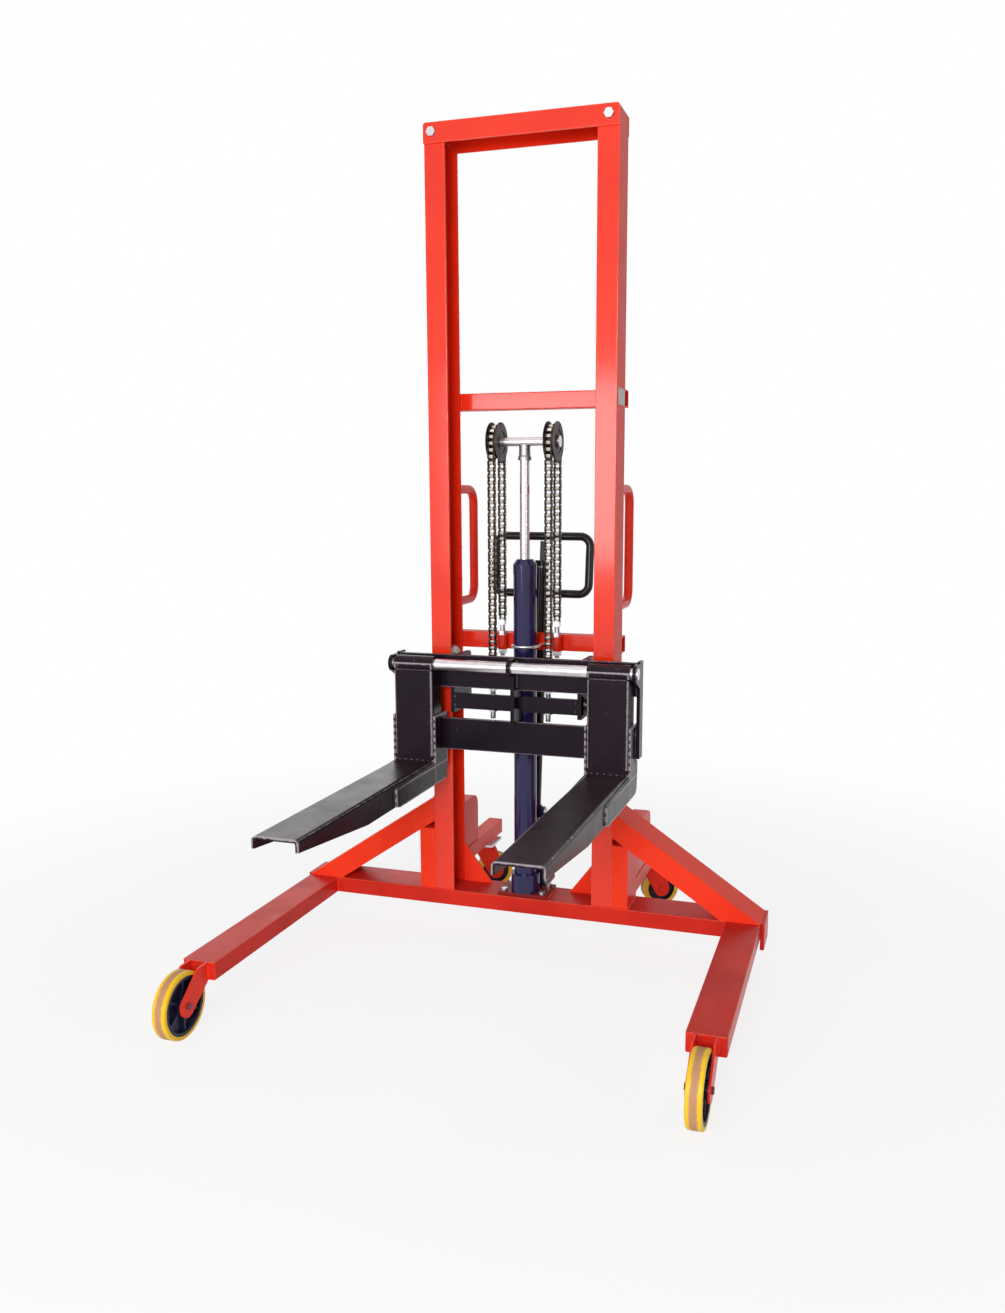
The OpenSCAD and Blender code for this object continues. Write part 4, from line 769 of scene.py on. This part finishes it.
@dataclass
class LinkChains:
    """Two roller chains that run up from the rear anchors, over the wheels and down to the carriage."""

    offset: float = 0.088
    wheel_y: float = 0.195
    wheel_z: float = 1.571
    pitch_radius: float = 0.0458
    rear_end: float = 1.036
    front_end: float = 0.844
    pitch: float = 0.01905
    plate_height: float = 0.0172
    waist: float = 0.0125
    round_share: float = 0.86
    side_share: float = 0.62
    roller_radius: float = 0.00595
    pin_radius: float = 0.0029
    roller_half: float = 0.0062
    pin_half: float = 0.0119
    plate: float = 0.0023
    inner_start: float = 0.0063
    outer_start: float = 0.0088

    def path(self, distance: np.ndarray) -> np.ndarray:
        """Point of the pitch line at a distance from the rear anchor.

        It goes straight up behind, half way round the wheel, and straight down in front.

        Args:
            distance: distances in metres.

        Returns:
            One row of Y and Z for each distance.
        """
        rise = self.wheel_z - self.rear_end
        turn = math.pi * self.pitch_radius
        up = np.clip(distance, 0, rise)
        angle = np.clip(distance - rise, 0, turn) / self.pitch_radius
        down = np.maximum(distance - rise - turn, 0)
        return np.column_stack([self.wheel_y + self.pitch_radius * np.cos(angle),
                                self.rear_end + up + self.pitch_radius * np.sin(angle) - down])

    def plate_outline(self) -> np.ndarray:
        """Outline of a link plate: a round end past each pin, and sides drawn in to the waist.

        A round end takes its share of a half circle, and a side its share of the length between the pins. A
        squared cosine of the place along the plate draws the side in.
        """
        radius = self.plate_height / 2
        step = self.pitch / 2
        right = np.linspace(-0.5, 0.5, 6) * math.pi * self.round_share
        ends = np.column_stack([step + radius * np.cos(right), radius * np.sin(right)])
        along = np.linspace(step * self.side_share, -step * self.side_share, 4)
        dip = (self.plate_height - self.waist) / 2 * np.cos(along / step * math.pi / 2) ** 2
        top = np.column_stack([along, radius - dip])
        return np.concatenate([ends, top, -ends, -top])

    def template(self, outer: bool) -> Solid:
        """One pitch of chain round the origin: two plates, a pin and a roller, along its first axis.

        Args:
            outer: whether the plates are the outer pair, which carry the pins.

        Returns:
            Points as along, out and sideways, and faces.
        """
        start = self.outer_start if outer else self.inner_start
        outline = self.plate_outline()
        parts = [prism(outline, start, start + self.plate), prism(outline, -start - self.plate, -start)]
        for radius, half in ((self.pin_radius, self.pin_half), (self.roller_radius, self.roller_half)):
            parts.append(prism((-self.pitch / 2, 0.0) + radius * circle(8), -half, half))
        return gather(parts)

    def links(self, numbers: np.ndarray, step: float, side: Side) -> Solid:
        """Places the template at each link: midway between two path points, its first axis along them.

        Args:
            numbers: whole numbers of the links.
            step: pitch that fits a whole number of links on the path.
            side: which of the two chains.

        Returns:
            All points and faces.
        """
        parts = []
        for outer in (False, True):
            chosen = numbers[numbers % 2 == int(outer)]
            points, faces = self.template(outer)
            first, second = self.path(chosen * step), self.path((chosen + 1) * step)
            middle = (first + second) / 2
            along = (second - first) / np.linalg.norm(second - first, axis=1, keepdims=True)
            out = np.column_stack([along[:, 1], -along[:, 0]])
            flat = (middle[:, None] + points[None, :, 0, None] * along[:, None]
                    + points[None, :, 1, None] * out[:, None])
            across = np.broadcast_to(side.value * self.offset + points[None, :, 2], flat.shape[:2])
            placed = np.concatenate([across[..., None], flat], axis=2).reshape(-1, 3)
            shift = np.arange(len(chosen)) * len(points)
            parts.append((placed, [[v + s for v in face] for s in shift for face in faces]))
        return gather(parts)

    def build(self, wardrobe: Wardrobe) -> None:
        """Makes the rear runs, the turns over the wheels and the front runs."""
        rise = self.wheel_z - self.rear_end
        turn = math.pi * self.pitch_radius
        length = rise + turn + self.wheel_z - self.front_end
        count = round(length / self.pitch)
        step = length / count
        numbers = np.arange(count)
        middle = (numbers + 0.5) * step
        spans = {"rear_links": middle < rise, "wheel_links": (middle >= rise) & (middle <= rise + turn),
                 "front_links": middle > rise + turn}
        stands_for = {"rear_links": "rear_chain_runs", "wheel_links": "chain_wraps",
                      "front_links": "front_chain_runs"}
        for name, chosen in spans.items():
            points, faces = gather(self.links(numbers[chosen], step, side) for side in Side)
            obj = wardrobe.piece(name, points, faces, LINK_DARK)
            self.brighten(obj, wardrobe)
            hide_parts(stands_for[name])
            if name == "rear_links":
                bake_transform(obj)
            elif name == "front_links":
                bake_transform(obj)
            else:
                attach(obj, "rod")

    def brighten(self, obj: bpy.types.Object, wardrobe: Wardrobe) -> None:
        """Gives the faces within the rollers' width and those past the outer plates the bright finish."""
        obj.data.materials.append(wardrobe.material(LINK_BRIGHT))
        mesh = obj.data
        centres = np.empty(len(mesh.polygons) * 3)
        mesh.polygons.foreach_get("center", centres)
        inset = np.abs(np.abs(centres.reshape(-1, 3)[:, 0]) - self.offset)
        roller_slack = 0.00005
        pin_slack = 0.0004
        roller = inset < self.roller_half + roller_slack
        pin_end = inset > self.outer_start + self.plate + pin_slack
        mesh.polygons.foreach_set("material_index", (roller | pin_end).astype(np.int32))


def flipped(point: Point) -> Point:
    """Mirrors a point or a direction in X."""
    return (-point[0], *point[1:])


@dataclass
class Seam:
    """One weld bead: its ends, the two directions it fills between, its size and the pitch of its dots."""

    start: Point
    end: Point
    first: Point
    second: Point
    size: float = 0.005
    dots: float = 0.0
    spacing: float = 0.0022
    swell: float = 0.16
    ripple: float = 0.0045
    taper: float = 0.004
    overlap: float = 0.12

    def surface(self) -> tuple[np.ndarray, np.ndarray]:
        """Bead as a grid: a quarter round between the two directions, with a radius that changes on the way.

        The radius is the size times one plus a small squared sine of the distance along the seam. It shrinks
        over the taper at each end. A dotted seam multiplies it by a clipped sine, which leaves blobs.

        Returns:
            The points and the quads.
        """
        fewest_rows = 8
        columns = 7
        fullness = 1.7
        thinnest = 0.02
        tip = 0.05
        start, end = np.array(self.start), np.array(self.end)
        length = float(np.linalg.norm(end - start))
        count = max(int(length / self.spacing), fewest_rows)
        along = np.linspace(0, 1, count)
        radius = 1 + self.swell * np.sin(along * length / self.ripple * math.pi) ** 2
        if self.dots:
            blobs = np.sin(along * length / self.dots * math.pi) * fullness
            radius = radius * np.clip(blobs, thinnest, 1)
        radius = radius * np.clip(np.minimum(along, 1 - along) * length / self.taper + tip, 0, 1)
        angle = np.linspace(-self.overlap, 0.5 * math.pi + self.overlap, columns)
        across = (np.cos(angle)[:, None] * np.array(self.first)
                  + np.sin(angle)[:, None] * np.array(self.second))
        across = np.concatenate([across, np.zeros((1, 3))])
        line = start + along[:, None] * (end - start)
        points = line[:, None] + (self.size * radius)[:, None, None] * across[None]
        faces = grid_faces(count, len(across))
        facing = np.dot(np.cross(across[1] - across[0], end - start), across[0] + across[1])
        return points.reshape(-1, 3), faces if facing > 0 else faces[:, ::-1]

    def mirror(self) -> "Seam":
        """Gives the seam's mirror image in X."""
        return replace(self, start=flipped(self.start), end=flipped(self.end), first=flipped(self.first),
                       second=flipped(self.second))


def mirrored(seams: Iterable[Seam]) -> list[Seam]:
    """Adds the mirror image in X of each seam."""
    return [copy for seam in seams for copy in (seam, seam.mirror())]


@dataclass
class Welds:
    """Weld beads where the plates and tubes of the frame, the carriage and the forks meet.

    The fields are faces and edges of the right-hand half. A seam that ends short of an edge leaves it free.
    """

    mast_half: float = 0.2885
    flange_inner: float = 0.2255
    flange_back: float = MAST_FRONT + 0.105
    base_back: float = MAST_FRONT + 0.126
    base_low: float = 0.124
    post_outer: float = 0.3385
    crossbar_levels: tuple[float, ...] = (1.695, 0.968)
    crossbar_half: float = 0.025
    brace_top: float = 0.475
    post_top: float = 0.371
    cylinder_foot_half: float = 0.080
    rail_outer: float = 0.3315
    rail_inner: float = 0.2815
    rail_top: float = 0.223
    bracket_end: float = MAST_FRONT + 0.370
    ear_y: float = MAST_FRONT - 0.700
    ear_offset: float = 0.029
    handle_x: float = 0.261
    handle_levels: tuple[float, ...] = (1.080, 1.434)
    handle_rise: float = 0.0132
    stitch_y: float = MAST_FRONT + 0.098
    stitch_length: float = 0.012
    carriage_front: float = MAST_FRONT - 0.055
    carriage_recess: float = 0.012
    end_plate_x: float = 0.370
    plate_spans: tuple[tuple[float, float], ...] = ((0.842, 0.941), (0.659, 0.746))

    def frame_seams(self) -> list[Seam]:
        """Seams of the red frame: crossbars, feet of uprights and posts, braces, brackets and handles."""
        y = MAST_FRONT
        top = BASE_TOP
        back = self.base_back
        rear = self.flange_back
        inner, outer = self.flange_inner, self.mast_half
        seams = []
        for level in self.crossbar_levels:
            for way in (-1, 1):
                z = level + way * self.crossbar_half
                seams.append(Seam((inner, rear, z), (outer - 0.003, rear, z), BACKWARD, (0, 0, way), 0.004))
            low, high = level - 0.024, level + 0.024
            seams.append(Seam((inner, rear, low), (inner, rear, high), INWARD, BACKWARD, 0.004))
        low, brace, post_top = self.base_low, self.brace_top, self.post_top
        post, leg, foot = self.post_outer, LEG_INNER, self.cylinder_foot_half
        seams += [
            Seam((inner, y, top), (post, y, top), FORWARD, UP, 0.003),
            Seam((post, y + 0.002, top), (post, back - 0.002, top), OUTWARD, UP, 0.004),
            Seam((outer, y + 0.002, brace), (outer, y + 0.103, brace), (1, 0, -0.4), UP, 0.005),
            Seam((outer, y, post_top), (outer, y + 0.104, post_top), OUTWARD, UP, 0.004),
            Seam((leg, y, top), (leg, y, low), FORWARD, INWARD, 0.004),
            Seam((leg, back, low), (leg, back, top), BACKWARD, INWARD, 0.003),
            Seam((foot, y + 0.010, top), (foot, y + 0.112, top), OUTWARD, UP, 0.004),
        ]
        end, z = self.bracket_end, self.rail_top
        for x, way in ((self.rail_outer, 1), (self.rail_inner, -1)):
            seams.append(Seam((x, back, z), (x, end, z), (way, 0, 0), (0, 0, 0.4), 0.003))
        for way in (-1, 1):
            x = LEG_MIDDLE + way * self.ear_offset
            seams.append(Seam((x, self.ear_y, 0.128), (x, self.ear_y, 0.168), (way, 0, 0), FORWARD, 0.004))
        left, right = self.handle_x - 0.006, self.handle_x + 0.006
        for level in self.handle_levels:
            for way in (1, -1):
                z = level + way * self.handle_rise
                seams.append(Seam((left, rear, z), (right, rear, z), BACKWARD, (0, 0, way), 0.004))
        return mirrored(seams)

    def channel_seams(self) -> list[Seam]:
        """Short stitches down the inside corner of each upright, about every 100 mm."""
        x = self.flange_inner + 0.001
        y = self.stitch_y
        return mirrored(Seam((x, y, z), (x, y, z + self.stitch_length), INWARD, FORWARD, 0.0035)
                        for z in np.arange(1.05, 2.36, 0.1))

    def carriage_seams(self) -> list[Seam]:
        """Seams of the black carriage: plates to end plates, bars to rib and side plates."""
        front = self.carriage_front
        back = front + self.carriage_recess
        end = self.end_plate_x
        seams = [Seam((end, front, low + 0.006), (end, front, high - 0.006), INWARD, FORWARD, 0.0045)
                 for low, high in self.plate_spans]
        seams += [
            Seam((0.1915, front, 0.780), (0.1915, front, 0.821), INWARD, FORWARD, 0.006, 0.014),
            Seam((0.006, front, 0.846), (0.006, front, 0.936), OUTWARD, FORWARD, 0.0045),
            Seam((0.205, back, 0.774), (0.205, back, 0.834), OUTWARD, (0, 0, 0.3), 0.004),
        ]
        return mirrored(seams) + [
            Seam((-0.006, front, 0.780), (-0.006, front, 0.821), INWARD, FORWARD, 0.006, 0.014),
            Seam((0.024, back, 0.784), (0.024, back, 0.817), INWARD, FORWARD, 0.007, 0.012),
        ]

    def fork_seams(self, side: Side) -> list[Seam]:
        """Seams of one fork: heel plates up the shank and along the blade, sleeve, and the dotted heel seam.

        Args:
            side: which of the two forks.

        Returns:
            The seams.
        """
        y = MAST_FRONT
        middle = side.value * FORK_MIDDLE
        seams = []
        for way in (-1, 1):
            x = middle + way * FORK_HALF
            out = (way, 0, 0)
            seams += [
                Seam((x, y - 0.118, 0.629), (x, y - 0.118, 0.759), out, FORWARD, 0.0055, 0.011),
                Seam((x, y - 0.394, 0.607), (x, y - 0.120, 0.615), out, UP, 0.0045),
                Seam((x, y - 0.395, 0.558), (x, y - 0.395, 0.605), out, FORWARD, 0.0045, 0.012),
            ]
        for half, front, z, size, dots in ((0.050, y - 0.125, BLADE_TOP, 0.0045, 0.0095),
                                           (0.058, y - 0.1175, 0.898, 0.004, 0.0)):
            seams.append(Seam((middle - half, front, z), (middle + half, front, z), FORWARD, UP, size, dots))
        return seams

    def build(self, wardrobe: Wardrobe) -> None:
        """Makes one piece of beads for each body."""
        # Beads on the black parts take the lighter bead paint, whose colour is a painted glint.
        plans = [("frame_beads", "chassis", self.frame_seams() + self.channel_seams(), RED, "frame_red"),
                 ("carriage_beads", "carriage", self.carriage_seams(), BEAD_BLACK_GLINT, "carriage_black")]
        for side in Side:
            plans.append((f"fork_beads_{side.label}", f"sliding_fork_{side.label}", self.fork_seams(side),
                          BEAD_BLACK_GLINT, "carriage_black"))
        for name, body, seams, finish, slot in plans:
            points, faces = gather(seam.surface() for seam in seams)
            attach(wardrobe.piece(name, points, faces, finish, smooth=True), body)


def rounded_outline(width: float, height: float, radius: float) -> np.ndarray:
    """Outline of a rectangle with round corners, round its own centre, turning left.

    Args:
        width: size along the first axis.
        height: size along the second axis.
        radius: corner radius.

    Returns:
        One row of two values for each point.
    """
    quarter = np.linspace(0, math.pi / 2, 6)
    corners = []
    for number, (x, y) in enumerate(((1, 1), (-1, 1), (-1, -1), (1, -1))):
        angle = quarter + number * math.pi / 2
        centre = np.array([x * (width / 2 - radius), y * (height / 2 - radius)])
        corners.append(centre + radius * np.column_stack([np.cos(angle), np.sin(angle)]))
    return np.concatenate(corners)


@dataclass
class BarePlate:
    """The unmarked grey plate on the outer side of the right upright, with its four rivets."""

    face_x: float = 0.2885
    centre_y: float = 0.2025
    centre_z: float = 1.694
    width: float = 0.078
    height: float = 0.046
    thickness: float = 0.0012
    corner: float = 0.004
    inset: float = 0.006
    rivet: float = 0.0028
    rivet_height: float = 0.0014
    dome: float = 0.97

    def build(self, wardrobe: Wardrobe) -> None:
        """Makes the plate as a prism, and each rivet as a circle that shrinks by a cosine as it rises."""
        outline = rounded_outline(self.width, self.height, self.corner)
        parts = [prism(outline, 0, self.thickness)]
        ring = circle(12)
        rise = np.linspace(0, math.pi / 2 * self.dome, 5)
        faces = grid_faces(len(rise), len(ring)).tolist()
        last = (len(rise) - 1) * len(ring)
        faces.append(list(range(last, last + len(ring))))
        for y in (-1, 1):
            for z in (-1, 1):
                centre = np.array([y * (self.width / 2 - self.inset), z * (self.height / 2 - self.inset)])
                flat = centre + self.rivet * np.cos(rise)[:, None, None] * ring
                level = self.thickness + self.rivet_height * np.sin(rise)[:, None] * np.ones(len(ring))
                parts.append((np.concatenate([flat, level[..., None]], axis=2).reshape(-1, 3), faces))
        points, faces = gather(parts)
        placed = np.column_stack([self.face_x + points[:, 2], self.centre_y + points[:, 0],
                                  self.centre_z + points[:, 1]])
        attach(wardrobe.piece("bare_plate", placed, faces, PLATE), "chassis")


@dataclass
class Viewpoint:
    """The camera, at the photograph's place and angle."""

    place: Point = (1.01552, -2.91149, 1.41111)
    yaw: float = 0.3007
    pitch: float = 0.1632
    roll: float = 0.0007
    focal_pixels: float = 1082.193
    centre: tuple[float, float] = (541.466, 674.855)
    picture: tuple[int, int] = (1005, 1313)
    sensor: float = 36.0
    far: float = 60.0

    def build(self) -> None:
        """Places the camera: its right, up and back axes come from yaw, pitch and roll."""
        level = math.cos(self.pitch)
        forward = Vector((-math.sin(self.yaw) * level, math.cos(self.yaw) * level, -math.sin(self.pitch)))
        right = Vector((math.cos(self.yaw), math.sin(self.yaw), 0))
        up = right.cross(forward)
        rolled = math.cos(self.roll) * right + math.sin(self.roll) * up
        upright = -math.sin(self.roll) * right + math.cos(self.roll) * up
        turn = Matrix((rolled, upright, -forward)).transposed()
        data = bpy.data.cameras.new("viewpoint")
        long_side = max(self.picture)
        data.sensor_width = self.sensor
        data.lens = self.sensor * self.focal_pixels / long_side
        data.shift_x = -(self.centre[0] - self.picture[0] / 2) / long_side
        data.shift_y = (self.centre[1] - self.picture[1] / 2) / long_side
        data.clip_end = self.far
        camera = bpy.data.objects.new("viewpoint", data)
        camera.matrix_world = Matrix.Translation(self.place) @ turn.to_4x4()
        bpy.context.scene.collection.objects.link(camera)
        bpy.context.scene.camera = camera


@dataclass(frozen=True)
class Lamp:
    """A soft square lamp: its place, what it points at, its size in metres and its power in watts."""

    name: str
    place: Point
    target: Point
    size: float
    power: float

    def build(self) -> None:
        """Hangs the lamp, turned towards its target."""
        data = bpy.data.lights.new(self.name, "AREA")
        data.size = self.size
        data.energy = self.power
        lamp = bpy.data.objects.new(self.name, data)
        lamp.location = self.place
        lamp.rotation_euler = (Vector(self.target) - Vector(self.place)).to_track_quat("-Z", "Y").to_euler()
        bpy.context.scene.collection.objects.link(lamp)


@dataclass
class Studio:
    """Pale floor, white surroundings and soft lamps."""

    floor_half: float = 30.0
    world_light: float = 0.29
    near: float = 1.0
    near_glow: float = 0.82
    far: float = 3.4
    lamps: tuple[Lamp, ...] = (
        Lamp("key", (0.5, -5.0, 2.3), (0.0, 0.0, 1.1), 1.6, 134.0),
        Lamp("window", (-1.45, -4.9, 1.6), (0.0, 0.15, 1.4), 1.4, 46.0),
        Lamp("fill", (3.6, -1.8, 1.5), (0.0, 0.0, 0.9), 0.8, 8.0),
        Lamp("top", (0.0, 0.4, 5.2), (0.0, 0.1, 0.0), 3.0, 22.0),
        Lamp("back", (-3.0, 3.6, 2.8), (0.0, 0.2, 1.0), 2.6, 30.0),
    )

    def sees_white(self, graph: Graph) -> Socket:
        """Gives 1 for rays from the camera, from mirrors and from glass, which all see a white room."""
        rays = graph.add("ShaderNodeLightPath").outputs
        mirror = graph.math("MAXIMUM", rays["Is Glossy Ray"], rays["Is Transmission Ray"])
        return graph.math("MAXIMUM", rays["Is Camera Ray"], mirror)

    def build_world(self) -> None:
        """Sets a grey-white world that the camera sees as pure white."""
        world = bpy.data.worlds.new("white_room")
        bpy.context.scene.world = world
        world.use_nodes = True
        graph = Graph(world.node_tree)
        strength = graph.plus(graph.times(self.sees_white(graph), 1.0 - self.world_light), self.world_light)
        graph.feed(world.node_tree.nodes["Background"], Color=(1.0, 1.0, 1.0), Strength=strength)

    def build_floor(self) -> None:
        """Lays a pale floor that shows as white but for the object's soft shadow.

        Its glow grows with the distance from the object, so that far off it meets the white world unseen.
        """
        half = self.floor_half
        mesh = bpy.data.meshes.new("floor")
        corners = [(-half, -half, 0), (half, -half, 0), (half, half, 0), (-half, half, 0)]
        mesh.from_pydata(corners, [], [(0, 1, 2, 3)])
        floor = bpy.data.objects.new("floor", mesh)
        bpy.context.scene.collection.objects.link(floor)
        material, graph, shader = Finish("floor").start()
        place = graph.place()
        tone = graph.mix(graph.noise(place, 1.4), (0.88, 0.88, 0.88), (0.92, 0.92, 0.92))
        graph.feed(shader, Base_Color=tone, Roughness=0.9, Specular_IOR_Level=0.1)
        glow = graph.add("ShaderNodeEmission", None, Color=(1.0, 1.0, 1.0), Strength=1.0)
        distance = graph.vector("LENGTH", place, output="Value")
        share = graph.ramp(distance, self.near, self.far, self.near_glow)
        blend = graph.add("ShaderNodeMixShader", None, i0=graph.times(self.sees_white(graph), share),
                          i1=shader.outputs[0], i2=glow.outputs[0])
        graph.feed(material.node_tree.nodes["Material Output"], Surface=blend.outputs[0])
        mesh.materials.append(material)

    def build(self) -> None:
        """Builds the world, the floor and the lamps."""
        self.build_world()
        self.build_floor()
        for lamp in self.lamps:
            lamp.build()
        bpy.context.scene.view_settings.view_transform = "Standard"


def main() -> None:
    """Dresses the frame, adds the new pieces and sets the stage."""
    logging.basicConfig(level=logging.INFO, format="%(name)s: %(message)s")
    wardrobe = Wardrobe()
    wardrobe.dress(frame["nodes"])
    LinkChains().build(wardrobe)
    Welds().build(wardrobe)
    BarePlate().build(wardrobe)
    Studio().build()
    Viewpoint().build()


if __name__ == "__main__":
    main()
